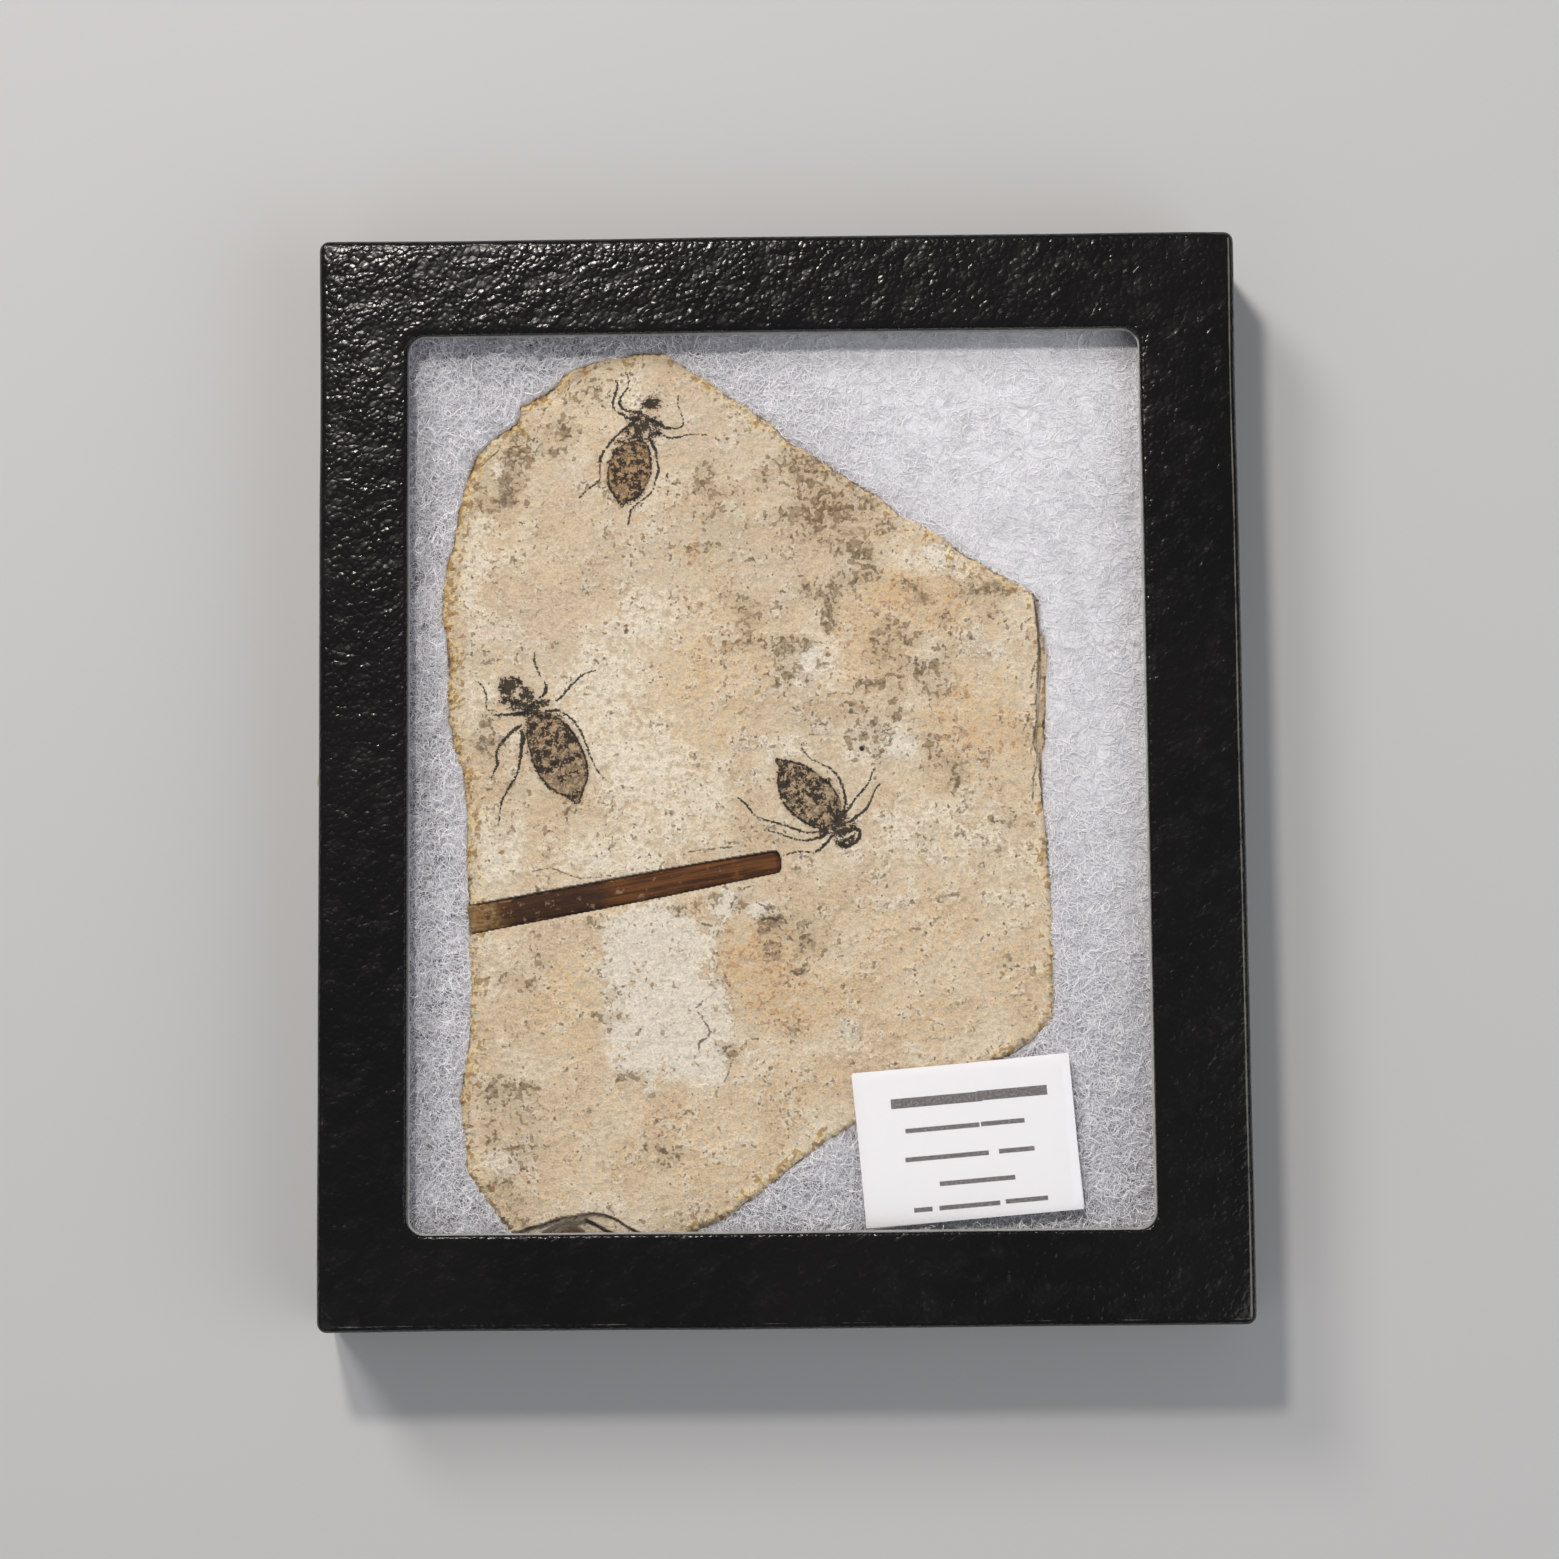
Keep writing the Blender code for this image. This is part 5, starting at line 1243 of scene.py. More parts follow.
def stoneMaterial():
    plan = platePlan
    material, tree, shader = newMaterial("cream limestone with films")
    spot = objectSpot(tree)

    def channels(name):
        attribute = place(tree, "ShaderNodeAttribute", {}, attribute_name=name)
        parts = place(tree, "ShaderNodeSeparateColor", {"Color": attribute.outputs["Color"]})
        return parts.outputs[0], parts.outputs[1], parts.outputs[2], attribute.outputs["Alpha"]

    legs, belly, spots, warm = channels("film")
    white, rust, dark, crack = channels("stain")
    rim, left, _, _ = channels("rim")
    warmZone, paleZone, greyZone, pinkZone = channels("tone")
    broad = cloud(tree, spot, 8.0, 2.0, 0.62)
    medium = cloud(tree, spot, 3.2, 2.0, 0.66)
    small = cloud(tree, spot, 1.1, 2.0, 0.7)
    tiny = cloud(tree, spot, 0.3, 1.0, 0.6)
    ragged = calc(tree, "SUBTRACT", medium, 0.5)
    mixed = calc(tree, "SUBTRACT", calc(tree, "ADD", medium, small), 1.0)
    jitter = calc(tree, "SUBTRACT", tiny, 0.5)
    speck = calc(tree, "SUBTRACT", small, 0.5)

    def lay(base, mask, strength, colour):
        return tint(tree, calc(tree, "MULTIPLY", mask, strength), base, colour)

    def patch(field, low, high, ragness=1.6):
        return band(tree, calc(tree, "MULTIPLY_ADD", mixed, ragness, field), low, high)

    def mottle(size, field, gain, shift, soft=0.1):
        drive = calc(tree, "MULTIPLY_ADD", field, gain, shift)
        sockets = {"Vector": spot, "Size": size, "Clump": ragged, "Drive": drive, "Edge": soft}
        return useGroup(tree, mottleGroup, sockets)["Mask"]

    def contour(noise, width, where):
        line = calc(tree, "ABSOLUTE", calc(tree, "SUBTRACT", noise, 0.5))
        return calc(tree, "MULTIPLY", band(tree, line, width, 0.0), where)

    # The ground, its zones, and fine pale and brown clouds over them
    base = tint(tree, band(tree, broad, 0.42, 0.60), plan["cream"], plan["tan"])
    base = lay(base, patch(pinkZone, 0.15, 0.75), 0.75, plan["pink"])
    base = lay(base, patch(greyZone, 0.15, 0.8), 0.4, plan["grey"])
    base = lay(base, patch(greyZone, 0.40, 0.54, 2.0), 0.45, plan["grey"])
    base = lay(base, patch(warmZone, 0.15, 0.85), 0.7, plan["warm"])
    base = lay(base, patch(paleZone, 0.25, 0.7), 0.75, plan["pale"])
    base = lay(base, band(tree, medium, 0.52, 0.62), 0.6, plan["pale"])
    hollows = calc(tree, "MULTIPLY", band(tree, medium, 0.46, 0.36), band(tree, broad, 0.52, 0.42))
    base = lay(base, hollows, 0.5, plan["green"])
    base = lay(base, contour(broad, 0.02, band(tree, small, 0.44, 0.56)), 0.3, plan["ochre"])

    # Rust, white crust with a brown tide line, and brown to grey mottles
    base = lay(base, patch(rust, 0.3, 0.9), 0.5, plan["rust"])
    rusty = mottle(1.0, rust, 0.62, -0.20, 0.04)
    base = lay(base, rusty, 0.5, plan["rustDeep"])
    lobed = calc(tree, "MULTIPLY_ADD", mixed, 1.1, white)
    base = lay(base, band(tree, lobed, 0.36, 0.58), 0.9, plan["white"])
    tide = band(tree, calc(tree, "ABSOLUTE", calc(tree, "SUBTRACT", lobed, 0.45)), 0.045, 0.0)
    across = place(tree, "ShaderNodeSeparateXYZ", {"Vector": spot}).outputs[0]
    tide = calc(tree, "MULTIPLY", tide, band(tree, across, -0.021, -0.014))
    base = lay(base, calc(tree, "MULTIPLY", tide, band(tree, broad, 0.42, 0.52)), 0.6, plan["brown"])
    base = lay(base, patch(dark, 0.1, 0.9), 0.1, plan["veil"])
    base = lay(base, patch(dark, 0.42, 0.48, 2.4), 0.5, plan["veil"])
    cloudy = calc(tree, "MULTIPLY_ADD", greyZone, 0.35, dark)
    mottled = mottle(1.35, cloudy, 0.62, -0.15, 0.02)
    brownish = tint(tree, band(tree, broad, 0.45, 0.58), plan["brown"], plan["greyBrown"])
    base = lay(base, mottled, 0.68, brownish)
    deeper = mottle(0.85, cloudy, 0.60, -0.27, 0.02)
    base = lay(base, deeper, 0.6, plan["sooty"])

    # Loose specks over the whole face
    where = band(tree, calc(tree, "MAXIMUM", broad, calc(tree, "MULTIPLY", greyZone, 0.8)), 0.42, 0.62)
    clean = band(tree, lobed, 0.35, 0.6, 1.0, 0.15)
    specks = calc(tree, "MULTIPLY", mottle(0.85, where, 0.24, -0.21, 0.03), clean)
    base = lay(base, specks, 0.6, plan["brown"])
    lines = contour(medium, 0.016, band(tree, calc(tree, "MAXIMUM", where, dark), 0.5, 0.9))
    base = lay(base, lines, 0.22, plan["brown"])

    # The ochre rind along the broken edge
    rind = calc(tree, "MULTIPLY_ADD", left, 0.3, rim)
    base = lay(base, patch(rind, 0.78, 1.1), 0.66, plan["rind"])
    base = lay(base, patch(rind, 1.0, 1.25), 0.6, plan["ochre"])
    base = lay(base, mottle(1.2, rind, 0.9, -0.60, 0.04), 0.7, plan["crust"])
    fine = band(tree, tiny, 0.28, 0.72, 0.88, 1.10)
    shade = calc(tree, "MULTIPLY", fine, band(tree, small, 0.28, 0.72, 0.84, 1.14))
    grey = place(tree, "ShaderNodeCombineColor", {0: shade, 1: shade, 2: shade}).outputs[0]
    base = tint(tree, 1.0, base, grey, "MULTIPLY")
    line = calc(tree, "MULTIPLY_ADD", speck, 0.7, calc(tree, "MULTIPLY_ADD", jitter, 0.7, crack))
    line = band(tree, line, 0.40, 0.54)
    base = lay(base, line, 0.8, plan["deep"])
    # A small pit is painted near black in the film colour: painted shade inside it
    shadedPitAt = onPlate([plan["shadedPit"]])[0] * mm
    flatSpot = place(tree, "ShaderNodeVectorMath", {0: spot, 1: (1, 1, 0)}, operation="MULTIPLY").outputs[0]
    away = place(
        tree, "ShaderNodeVectorMath", {0: flatSpot, 1: (shadedPitAt[0], shadedPitAt[1], 0)}, operation="DISTANCE"
    ).outputs["Value"]
    base = lay(base, band(tree, away, shadedPitAt[2] * 1.1, shadedPitAt[2] * 0.8), 0.95, plan["film"])

    # Films of the larvae: a brown body with a dark ragged rim and dark marks, and thin dark legs
    halo = band(tree, calc(tree, "MULTIPLY_ADD", speck, 1.6, calc(tree, "MAXIMUM", belly, spots)), 0.0, 0.6)
    base = lay(base, halo, 0.62, plan["halo"])
    bellyMask = band(tree, calc(tree, "MULTIPLY_ADD", jitter, 0.25, belly), 0.47, 0.52)
    brown = tint(tree, warm, plan["bellyPale"], plan["bellyWarm"])
    brown = tint(tree, band(tree, jitter, -0.02, 0.12), brown, tint(tree, 0.45, brown, plan["cream"]))
    base = lay(base, bellyMask, 0.9, brown)
    filmColour = tint(tree, band(tree, jitter, -0.03, 0.16), plan["film"], plan["filmWorn"])
    edge = band(tree, calc(tree, "MULTIPLY_ADD", speck, 0.9, belly), 0.70, 0.60)
    edge = calc(tree, "MULTIPLY", edge, bellyMask)
    marks = calc(tree, "MULTIPLY_ADD", speck, 1.1, calc(tree, "MULTIPLY_ADD", jitter, 1.3, spots))
    marks = band(tree, marks, 0.43, 0.53)
    fleck = band(tree, calc(tree, "MULTIPLY_ADD", jitter, 0.8, speck), 0.05, 0.10)
    net = band(tree, calc(tree, "ABSOLUTE", calc(tree, "MULTIPLY_ADD", jitter, 0.3, speck)), 0.055, 0.015)
    fleck = calc(tree, "MULTIPLY", calc(tree, "MAXIMUM", fleck, net), bellyMask)
    base = lay(base, fleck, 0.62, (0.035, 0.022, 0.013))
    edge = calc(tree, "MULTIPLY", edge, band(tree, medium, 0.42, 0.54, 0.35, 1.0))
    base = lay(base, edge, 0.85, filmColour)
    base = lay(base, marks, 0.94, filmColour)
    legMask = band(tree, calc(tree, "MULTIPLY_ADD", jitter, 0.9, legs), 0.41, 0.54)
    base = lay(base, legMask, 0.96, filmColour)
    tree.links.new(base, shader.inputs["Base Color"])

    film = calc(tree, "MAXIMUM", legMask, marks)
    film = calc(tree, "MAXIMUM", film, calc(tree, "MULTIPLY", bellyMask, 0.4))
    tree.links.new(calc(tree, "MULTIPLY_ADD", film, -0.26, 0.84), shader.inputs["Roughness"])
    shader.inputs["Specular IOR Level"].default_value = 0.16
    height = calc(tree, "MULTIPLY_ADD", small, 0.5, calc(tree, "MULTIPLY", tiny, 0.15))
    height = calc(tree, "MULTIPLY_ADD", medium, 1.0, height)
    broken = band(tree, rind, 0.7, 1.1, 1.0, 1.9)
    bumpOn(tree, shader, calc(tree, "MULTIPLY", height, broken), plan["grain"])
    return material


plate = buildPlate()
finishPiece(plate, "fossil_plate_stone", stoneMaterial(), "fossil_plate", 60)
print("plate ready")


# Reed: a ridged stem lying in its groove

def buildReed():
    plan = reedPlan
    start, end = np.array(plan["start"]), np.array(plan["end"])
    along = (end - start) / np.hypot(*(end - start))
    side = np.array([-along[1], along[0]])
    length = np.hypot(*(end - start))
    rings = []
    count, around = plan["along"], plan["around"]
    for i in range(count + 1):
        way = length * (1 - (1 - i / count) ** 1.15) * 0.9995
        half = float(reedHalfWidth(np.array(way), length)) + 0.02
        half *= 1 + 0.05 * float(hills(way, 0.0, 3.0, 4, seed=41))
        rounding = 1 - ease(way, length - 1.2, length) ** 2
        ring = []
        for j in range(around):
            turn = 2 * math.pi * j / around
            across, rise = math.cos(turn), math.sin(turn)
            across = math.copysign(abs(across) ** 0.75, across)
            ridges = 0.05 * math.sin(across * 9.0 + 0.4 * math.sin(way * 0.12))
            ridges += 0.035 * math.sin(across * 21.0)
            rough = 0.07 * float(hills(way * 0.35, across * 3.0, 1.0, 3, seed=42))
            top = max(0.0, rise) ** 0.38
            lift = (plan["crown"] - plan["thick"]) + plan["thick"] * top * (0.72 + 0.28 * rounding)
            lift += (ridges + rough) * top - 0.25 * top * ease(across, 0.45, 0.95)
            if rise < 0:
                lift = plan["crown"] - plan["thick"] + 0.3 * rise
            here = start + along * way + side * half * across
            ring.append((here[0], here[1], float(lift)))
        rings.append(ring)
    return growRings(rings, "cap")


def reedMaterial():
    plan = reedPlan
    material, tree, shader = newMaterial("brown reed")
    spot = objectSpot(tree)
    turn = math.atan2(plan["end"][1] - plan["start"][1], plan["end"][0] - plan["start"][0])
    lying = place(
        tree, "ShaderNodeMapping", {"Vector": spot, "Rotation": (0, 0, turn)}, vector_type="TEXTURE"
    ).outputs[0]
    fibres = cloud(tree, lying, 1.0, 5.0, 0.6, 0.2, ((0, 0, 0), (0.10, 1.6, 1.6)))
    streaks = cloud(tree, lying, 1.0, 3.0, 0.5, 0.0, ((0, 0, 0), (0.05, 3.4, 3.4)))
    patches = cloud(tree, spot, 6.0, 5.0, 0.6)
    small = cloud(tree, spot, 0.6, 3.0, 0.65)
    parts = place(tree, "ShaderNodeSeparateXYZ", {"Vector": lying}).outputs
    base = tint(tree, band(tree, fibres, 0.35, 0.62), plan["dark"], plan["brown"])
    base = tint(tree, calc(tree, "MULTIPLY", band(tree, patches, 0.5, 0.64), 0.75), base, plan["light"])
    dark = calc(tree, "MULTIPLY", band(tree, streaks, 0.56, 0.64), 0.5)
    base = tint(tree, dark, base, plan["streak"])

    # Near black on its upper side left of the middle, pale at its left end, and greyish at the very tip of
    # that end
    alongX = calc(tree, "MULTIPLY", parts[0], 1000.0)
    ragged = calc(tree, "MULTIPLY_ADD", calc(tree, "SUBTRACT", patches, 0.5), 9.0, alongX)
    black = calc(tree, "MULTIPLY", band(tree, ragged, -47.5, -43.5), band(tree, ragged, -27.0, -33.0))
    base = tint(tree, calc(tree, "MULTIPLY", black, 0.75), base, plan["black"])
    pale = calc(tree, "MULTIPLY", band(tree, ragged, -44.6, -47.0), band(tree, small, 0.3, 0.6))
    base = tint(tree, calc(tree, "MULTIPLY", pale, 0.8), base, plan["pale"])
    endGrey = calc(tree, "MULTIPLY", band(tree, ragged, -48.6, -50.4), 0.75)
    base = tint(tree, endGrey, base, plan["endGrey"])
    dust = band(tree, cloud(tree, spot, 1.7, 3.0, 0.7), 0.60, 0.68)
    base = tint(tree, calc(tree, "MULTIPLY", dust, 0.45), base, plan["dust"])
    middle = (plan["start"][1] * math.cos(turn) - plan["start"][0] * math.sin(turn)) * mm
    aside = calc(tree, "MULTIPLY", calc(tree, "ABSOLUTE", calc(tree, "SUBTRACT", parts[1], middle)), 500.0)
    crust = calc(tree, "MULTIPLY_ADD", calc(tree, "SUBTRACT", patches, 0.5), 1.6, aside)
    crust = band(tree, crust, 0.86, 1.04)
    crust = calc(tree, "MULTIPLY", crust, band(tree, small, 0.42, 0.56))
    base = tint(tree, calc(tree, "MULTIPLY", crust, 0.75), base, plan["crust"])
    tree.links.new(base, shader.inputs["Base Color"])
    tree.links.new(band(tree, small, 0.3, 0.7, 0.55, 0.8), shader.inputs["Roughness"])
    shader.inputs["Specular IOR Level"].default_value = 0.1
    height = calc(tree, "MULTIPLY_ADD", fibres, 1.0, calc(tree, "MULTIPLY", small, 0.5))
    height = calc(tree, "MULTIPLY_ADD", streaks, 0.5, height)
    bumpOn(tree, shader, height, 0.00022)
    return material


reed = buildReed()
finishPiece(reed, "reed_stem", reedMaterial(), "fossil_reed", 60)
print("reed ready")


# Fibre pad: a soft white bed with the plate pressed into it, and loose curled fibres on its face

padPlan = {
    "half": (66.3, 79.3),
    "cell": 0.8,
    "skirt": (6.5, 4.5, 1.8),  # heights of the steps down its side
    "hollow": 6.9,  # under the plate
    "crest": 14.0,
    "limit": 15.1,
    # The dark bed colour below is painted shade; the pale one is the fill's own white
    "bed": (0.14, 0.135, 0.16),
    "bedFirm": (0.74, 0.735, 0.79),
    "thread": (0.89, 0.885, 0.94),
    # The five fibre sets differ in white at random; the two darker ones are also painted shade
    "fibreWhites": (
        (0.92, 0.91, 0.97),
        (0.88, 0.87, 0.93),
        (0.76, 0.75, 0.80),
        (0.62, 0.615, 0.66),
        (0.88, 0.87, 0.93),
    ),
    "perPiece": 6000,
    "field": ((-60, 59), (-72.5, 71.5)),  # where the loose fibres start, across and up
    "steps": 12,
    "width": 0.078,
}


def padFirm(x, y):
    # Pressed to the glass at the upper right and in the middle of the right side
    return ease(x * 0.75 + y * 0.42, 0, 42)


def padHeight(x, y):
    plan = padPlan
    fromWall = np.minimum(plan["half"][0] - abs(x), plan["half"][1] - abs(y))
    turn = np.sqrt(np.clip(1 - (1 - np.clip(fromWall / 9.0, 0, 1)) ** 2, 0, 1))
    firm = padFirm(x, y)
    crest = plan["crest"] - 0.9 + 0.9 * firm + 0.35 * hills(x, y, 18, 2, seed=51)
    tufts = hills(x, y, 4.2, 3, seed=52) * 0.5 + hills(x, y, 1.7, 3, seed=53) * 0.3
    return 8.2 + (crest - 8.2) * turn + tufts * (1.0 - 0.92 * firm)


def buildPad():
    plan = padPlan
    count = [int(2 * side / plan["cell"]) for side in plan["half"]]
    deselectAll()
    bpy.ops.mesh.primitive_grid_add(
        x_subdivisions=count[0], y_subdivisions=count[1], size=1, location=(0, 0, 0)
    )
    piece = bpy.context.object
    spots = cornersOf(piece)
    spots[:, :2] = spots[:, :2] * mm * 2 * np.array(plan["half"])
    spots[:, 2] = 12.0
    moveCorners(piece, spots)
    mesh = openMesh(piece, "EDGE")
    for edge in mesh.edges:
        edge.select_set(edge.is_boundary)
    bmesh.update_edit_mesh(piece.data)
    for height in plan["skirt"]:
        bpy.ops.mesh.extrude_edges_move()
        mesh = bmesh.from_edit_mesh(piece.data)
        for corner in mesh.verts:
            if corner.select:
                corner.co.z = height * mm
        bmesh.update_edit_mesh(piece.data)
    bpy.ops.mesh.edge_face_add()
    closeMesh()
    spots = cornersOf(piece)
    x, y, z = spots.T
    face = z > 11
    depth = shapeDepth(spots[:, :2], np.array(platePlan["outline"]))
    high = np.minimum(padHeight(x, y), plan["limit"])
    pressed = ease(depth, 0.4, 1.1)
    high = high - (high - 13.2) * ease(depth, -1.0, 0.2)
    high = high + (plan["hollow"] - high) * pressed
    spots[:, 2] = np.where(face, high, z)
    moveCorners(piece, spots)
    # The firm attribute brings in the pale bed colour where the pad is pressed, over a painted lit patch at
    # the top left, and in a band round the plate. Where it is low, the dark bed colour is painted shade
    firm = piece.data.attributes.new("firm", "FLOAT", "POINT")
    litTopLeft = 0.55 * ease(np.hypot(x + 49, y - 52) + 3 * hills(x, y, 6, 3, seed=55), 17, 5)
    shade = np.maximum(padFirm(x, y), np.maximum(litTopLeft, 0.6 * ease(depth, -2.0, -0.4)))
    firm.data.foreach_set("value", shade)
    return piece


def fibreMaterial():
    # Wool: pale curled threads over the bed, drawn along the contours of smooth noise. The bed's dark grey is
    # painted shade: it shows between the clumps and where the firm attribute is low, and gives way to the
    # pale colour where that attribute is high
    plan = padPlan
    material, tree, shader = newMaterial("white fibre fill")
    spot = objectSpot(tree)
    firm = place(tree, "ShaderNodeAttribute", {}, attribute_name="firm").outputs["Fac"]
    height = None
    for i, size in enumerate((2.0, 1.3, 0.9)):
        moved = place(tree, "ShaderNodeVectorMath", {0: spot, 1: (0.031 * i, 0.017 * i, 0.05 * i)}).outputs[0]
        wave = calc(tree, "SUBTRACT", cloud(tree, moved, size, 1.0, 0.4), 0.5)
        thread = band(tree, calc(tree, "ABSOLUTE", wave), 0.02 + 0.008 * i, 0.003)
        height = calc(tree, "MAXIMUM", height, thread) if height else thread
    clumps = band(tree, cloud(tree, spot, 4.0, 4.0, 0.7), 0.36, 0.62)
    litBedShare = calc(tree, "MAXIMUM", firm, calc(tree, "MULTIPLY", clumps, 0.55))
    bed = tint(tree, litBedShare, plan["bed"], plan["bedFirm"])
    amount = band(tree, firm, 0.0, 1.0, 0.85, 0.4)
    # Between the clumps the dark bed colour is painted in again, as painted shade
    bed = tint(tree, calc(tree, "MULTIPLY", band(tree, clumps, 1.0, 0.0), 0.22), bed, plan["bed"])
    base = tint(tree, calc(tree, "MULTIPLY", height, amount), bed, plan["thread"])
    tree.links.new(base, shader.inputs["Base Color"])
    shader.inputs["Roughness"].default_value = 0.6
    shader.inputs["Specular IOR Level"].default_value = 0.25
    bumpOn(tree, shader, cloud(tree, spot, 0.4, 2.0, 0.6), 0.0001)
    return material


pad = buildPad()
padWhite = fibreMaterial()
finishPiece(pad, "fibre_pad_fill", padWhite, "fibre_pad", 180)


def buildFibres(index):
    # Ribbons that wander over the pad; each one bends its own way and dips back into the fill at both ends
    plan = padPlan
    dice = np.random.default_rng(100 + index)
    count, steps = plan["perPiece"], plan["steps"]
    outline = np.array(platePlan["outline"])
    starts = []
    while sum(map(len, starts)) < count:
        tried = np.stack([dice.uniform(*side, plan["perPiece"]) for side in plan["field"]], 1)
        starts.append(tried[shapeDepth(tried, outline) < -0.1])
    start = np.concatenate(starts)[:count]
    x, y = start[:, 0].copy(), start[:, 1].copy()
    heading = dice.uniform(0, 2 * math.pi, count) + 1.5 * hills(x, y, 12, 1, seed=61)
    bend = dice.normal(0, 0.34, count)
    stride = dice.uniform(2.0, 5.5, count) / steps
    lift = dice.uniform(0.05, 1.3, count) ** 1.4
    pathX, pathY = [], []
    for _ in range(steps + 1):
        pathX.append(x.copy())
        pathY.append(y.copy())
        x += np.cos(heading) * stride
        y += np.sin(heading) * stride
        heading += bend + dice.normal(0, 0.26, count)
        bend *= 0.94
    x, y = np.array(pathX), np.array(pathY)
    share = np.linspace(0, 1, steps + 1)[:, None]
    firm = padFirm(x, y)
    z = padHeight(x, y) + lift * np.sin(math.pi * share) * (1.0 - 0.75 * firm) - 0.03
    depth = shapeDepth(np.stack([x.ravel(), y.ravel()], 1), outline).reshape(x.shape)
    z = np.minimum(z - (z - 13.4) * 0.7 * ease(depth, -1.2, 0.0), plan["limit"] + 0.1)
    z -= (z - 11.5) * ease(depth, 0.1, 0.7)
    keep = dice.uniform(0, 1, count) > 0.15 * firm.mean(0)
    x, y, z = x[:, keep], y[:, keep], z[:, keep]
    count = x.shape[1]
    dx, dy = np.gradient(x, axis=0), np.gradient(y, axis=0)
    size = np.hypot(dx, dy) + 1e-9
    width = plan["width"] * dice.uniform(0.55, 1.3, count) / 2
    roll = dice.uniform(-0.9, 0.9, count) * (1 - 0.65 * firm.mean(0)[keep])
    sideX, sideY = -dy / size * width * np.cos(roll), dx / size * width * np.cos(roll)
    sideZ = np.broadcast_to(width * np.sin(roll), x.shape)
    one = np.stack([x + sideX, y + sideY, z + sideZ], 2)
    two = np.stack([x - sideX, y - sideY, z - sideZ], 2)
    corners = np.stack([one, two], 2).transpose(1, 0, 2, 3).reshape(-1, 3) * mm
    base = (np.arange(count) * (steps + 1) * 2)[:, None] + (np.arange(steps) * 2)[None]
    faces = np.stack([base, base + 1, base + 3, base + 2], 2).reshape(-1, 4)
    data = bpy.data.meshes.new("fibres")
    data.vertices.add(len(corners))
    data.vertices.foreach_set("co", corners.ravel())
    data.loops.add(faces.size)
    data.loops.foreach_set("vertex_index", faces.ravel())
    data.polygons.add(len(faces))
    data.polygons.foreach_set("loop_start", np.arange(len(faces)) * 4)
    data.update(calc_edges=True)
    piece = bpy.data.objects.new("fibres", data)
    bpy.context.scene.collection.objects.link(piece)
    return piece


for index, white in enumerate(padPlan["fibreWhites"]):
    fibreWhite, tree, shader = newMaterial("loose white fibres %d" % (index + 1))
    shader.inputs["Base Color"].default_value = (*white, 1)
    shader.inputs["Roughness"].default_value = 0.45
    finishPiece(buildFibres(index), "loose_fibres_%d" % (index + 1), fibreWhite, None, 0)
print("fill ready")


# Card: a folded white card with plain rules

cardPlan = {
    "size": (32.7, 23.3),
    "centre": (27.5, -55.4),
    "turn": 4.6,
    "front": (14.84, 15.0),
    "back": (14.66, 14.80),
    "backTurn": 0.75,
    "ink": (0.055, 0.042, 0.036),
    "paper": ((0.835, 0.822, 0.87), (0.895, 0.882, 0.93)),
    "subdivided": 15,
    "softEdge": 0.04,
    # Rules: centre x, centre y, half length and half height, in millimetres from the card's middle
    "rules": [
        (-4.1, 6.5, 6.9, 0.75), (7.3, 6.6, 5.3, 0.75), (-3.6, 2.3, 5.6, 0.36), (5.5, 2.35, 3.3, 0.36),
        (-3.3, -2.0, 6.3, 0.36), (7.2, -1.95, 2.7, 0.36), (0.9, -6.0, 5.7, 0.36), (-7.6, -9.6, 1.4, 0.36),
        (-0.6, -9.6, 4.6, 0.36), (8.0, -9.5, 3.2, 0.36),
    ],
}


def buildCard():
    plan = cardPlan
    leaves = []
    for (low, high), turn in ((plan["front"], plan["turn"]), (plan["back"], plan["turn"] + plan["backTurn"])):
        deselectAll()
        bpy.ops.mesh.primitive_cube_add(
            size=1,
            location=(plan["centre"][0] * mm, plan["centre"][1] * mm, (low + high) / 2 * mm),
            rotation=(0, 0, math.radians(turn)),
            scale=(plan["size"][0] * mm, plan["size"][1] * mm, (high - low) * mm),
        )
        leaf = bpy.context.object
        bpy.ops.object.transform_apply(location=True, rotation=True, scale=True)
        openMesh(leaf)
        bpy.ops.mesh.select_all(action="SELECT")
        bpy.ops.mesh.subdivide(number_cuts=plan["subdivided"])
        closeMesh()
        bevel = leaf.modifiers.new("soft edges", "BEVEL")
        bevel.width = plan["softEdge"] * mm
        bevel.segments = 2
        bevel.limit_method = "ANGLE"
        bpy.ops.object.modifier_apply(modifier=bevel.name)
        leaves.append(leaf)
    deselectAll()
    for leaf in leaves:
        leaf.select_set(True)
    bpy.context.view_layer.objects.active = leaves[0]
    bpy.ops.object.join()
    card = leaves[0]
    spots = cornersOf(card)
    spots[:, 2] += 0.05 * hills(spots[:, 0], spots[:, 1], 22, 1, seed=71)
    moveCorners(card, spots)
    return card


ruleGroup, given, out = newGroup(
    "printedRule",
    [("Vector", "V", None), ("Middle", "V", (0, 0, 0)), ("Half", "V", (0, 0, 0))],
    [("Mask", "F")],
)
fromMiddle = place(
    ruleGroup, "ShaderNodeVectorMath", {0: given["Vector"], 1: given["Middle"]}, operation="SUBTRACT"
).outputs[0]
aside = place(ruleGroup, "ShaderNodeVectorMath", {0: fromMiddle}, operation="ABSOLUTE").outputs[0]
offset = place(
    ruleGroup, "ShaderNodeVectorMath", {0: given["Half"], 1: aside}, operation="SUBTRACT"
).outputs[0]
parts = place(ruleGroup, "ShaderNodeSeparateXYZ", {"Vector": offset}).outputs
inside = calc(ruleGroup, "MINIMUM", parts[0], parts[1])
ruleGroup.links.new(band(ruleGroup, inside, -0.00004, 0.00006), out["Mask"])


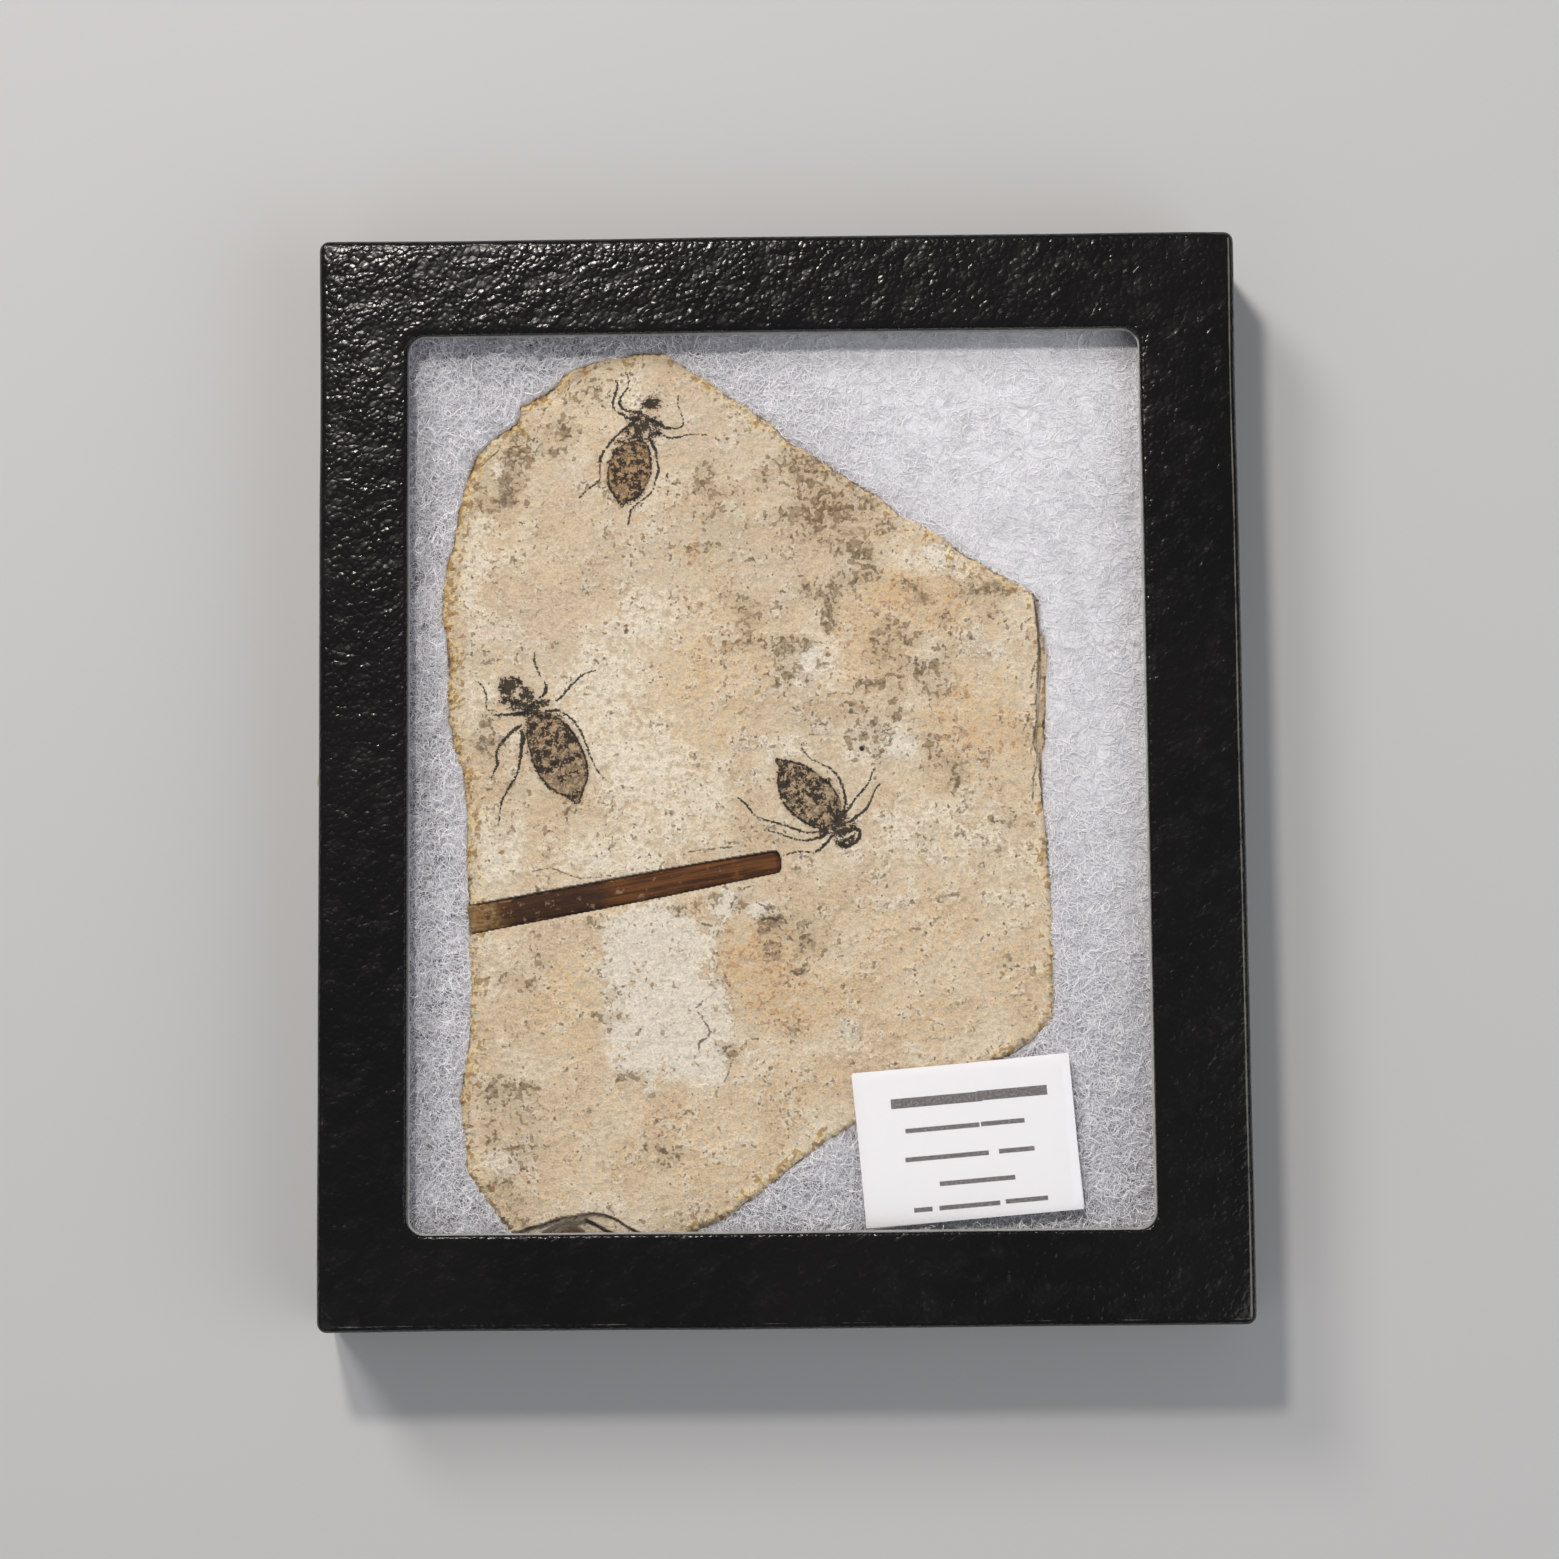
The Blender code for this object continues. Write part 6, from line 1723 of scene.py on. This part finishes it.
def cardMaterial():
    plan = cardPlan
    material, tree, shader = newMaterial("white card with rules")
    spot = objectSpot(tree)
    square = place(
        tree,
        "ShaderNodeMapping",
        {
            "Vector": spot,
            "Location": (plan["centre"][0] * mm, plan["centre"][1] * mm, 0),
            "Rotation": (0, 0, math.radians(plan["turn"])),
        },
        vector_type="TEXTURE",
    ).outputs[0]
    ink = None
    for x, y, long, tall in plan["rules"]:
        sockets = {"Vector": square, "Middle": (x * mm, y * mm, 0), "Half": (long * mm, tall * mm, 1)}
        rule = useGroup(tree, ruleGroup, sockets)["Mask"]
        ink = calc(tree, "MAXIMUM", ink, rule) if ink else rule
    upper = place(tree, "ShaderNodeSeparateXYZ", {"Vector": spot}).outputs[2]
    onFront = plan["front"][1] - 0.1  # above the back leaf, on the front one
    ink = calc(tree, "MULTIPLY", ink, calc(tree, "GREATER_THAN", upper, onFront * mm))
    worn = band(tree, cloud(tree, spot, 0.35, 3.0, 0.6), 0.2, 0.6, 0.75, 1.0)
    paper = tint(tree, cloud(tree, spot, 0.25, 3.0, 0.6), *plan["paper"])
    ink = calc(tree, "MULTIPLY", calc(tree, "MULTIPLY", ink, worn), 0.9)
    base = tint(tree, ink, paper, plan["ink"])
    tree.links.new(base, shader.inputs["Base Color"])
    shader.inputs["Roughness"].default_value = 0.65
    shader.inputs["Specular IOR Level"].default_value = 0.3
    bumpOn(tree, shader, cloud(tree, spot, 0.3, 3.0, 0.6), 0.00002)
    return material


finishPiece(buildCard(), "folded_card", cardMaterial(), "name_card", 30)


# Pin: a domed brass head on a thin shank, pushed through the left wall

pinPlan = {
    "y": 0.6,
    "z": 9.6,
    "wall": -70.0,
    "headRadius": 1.6,
    "headHeight": 0.9,
    "shank": 0.42,
    "length": 7.0,
    "around": 40,
    "bright": (0.78, 0.60, 0.33),
    "dull": (0.50, 0.36, 0.19),
}


def buildPin():
    plan = pinPlan
    dome = []
    for i in range(1, 12):
        turn = math.radians(90) * i / 11
        dome.append((plan["headRadius"] * math.sin(turn), -plan["headHeight"] * math.cos(turn)))
    profile = [(0.03, -plan["headHeight"])] + dome + [(plan["headRadius"] - 0.08, 0.09), (plan["shank"], 0.1)]
    profile += [(plan["shank"], plan["length"] - 1.4), (0.04, plan["length"])]
    rings = []
    for radius, way in profile:
        ring = []
        for j in range(plan["around"]):
            turn = 2 * math.pi * j / plan["around"]
            aside, up = radius * math.cos(turn), radius * math.sin(turn)
            ring.append((plan["wall"] - 0.3 + way, plan["y"] + aside, plan["z"] + up))
        rings.append(ring)
    return growRings(rings, "cap")


material, tree, shader = newMaterial("brass pin")
spot = objectSpot(tree)
dull = band(tree, cloud(tree, spot, 0.8, 5.0, 0.65), 0.35, 0.7)
tree.links.new(tint(tree, dull, pinPlan["bright"], pinPlan["dull"]), shader.inputs["Base Color"])
tree.links.new(calc(tree, "MULTIPLY_ADD", dull, 0.22, 0.16), shader.inputs["Roughness"])
shader.inputs["Metallic"].default_value = 1.0
finishPiece(buildPin(), "brass_pin", material, "closing_pin", 40)
print("card and pin ready")
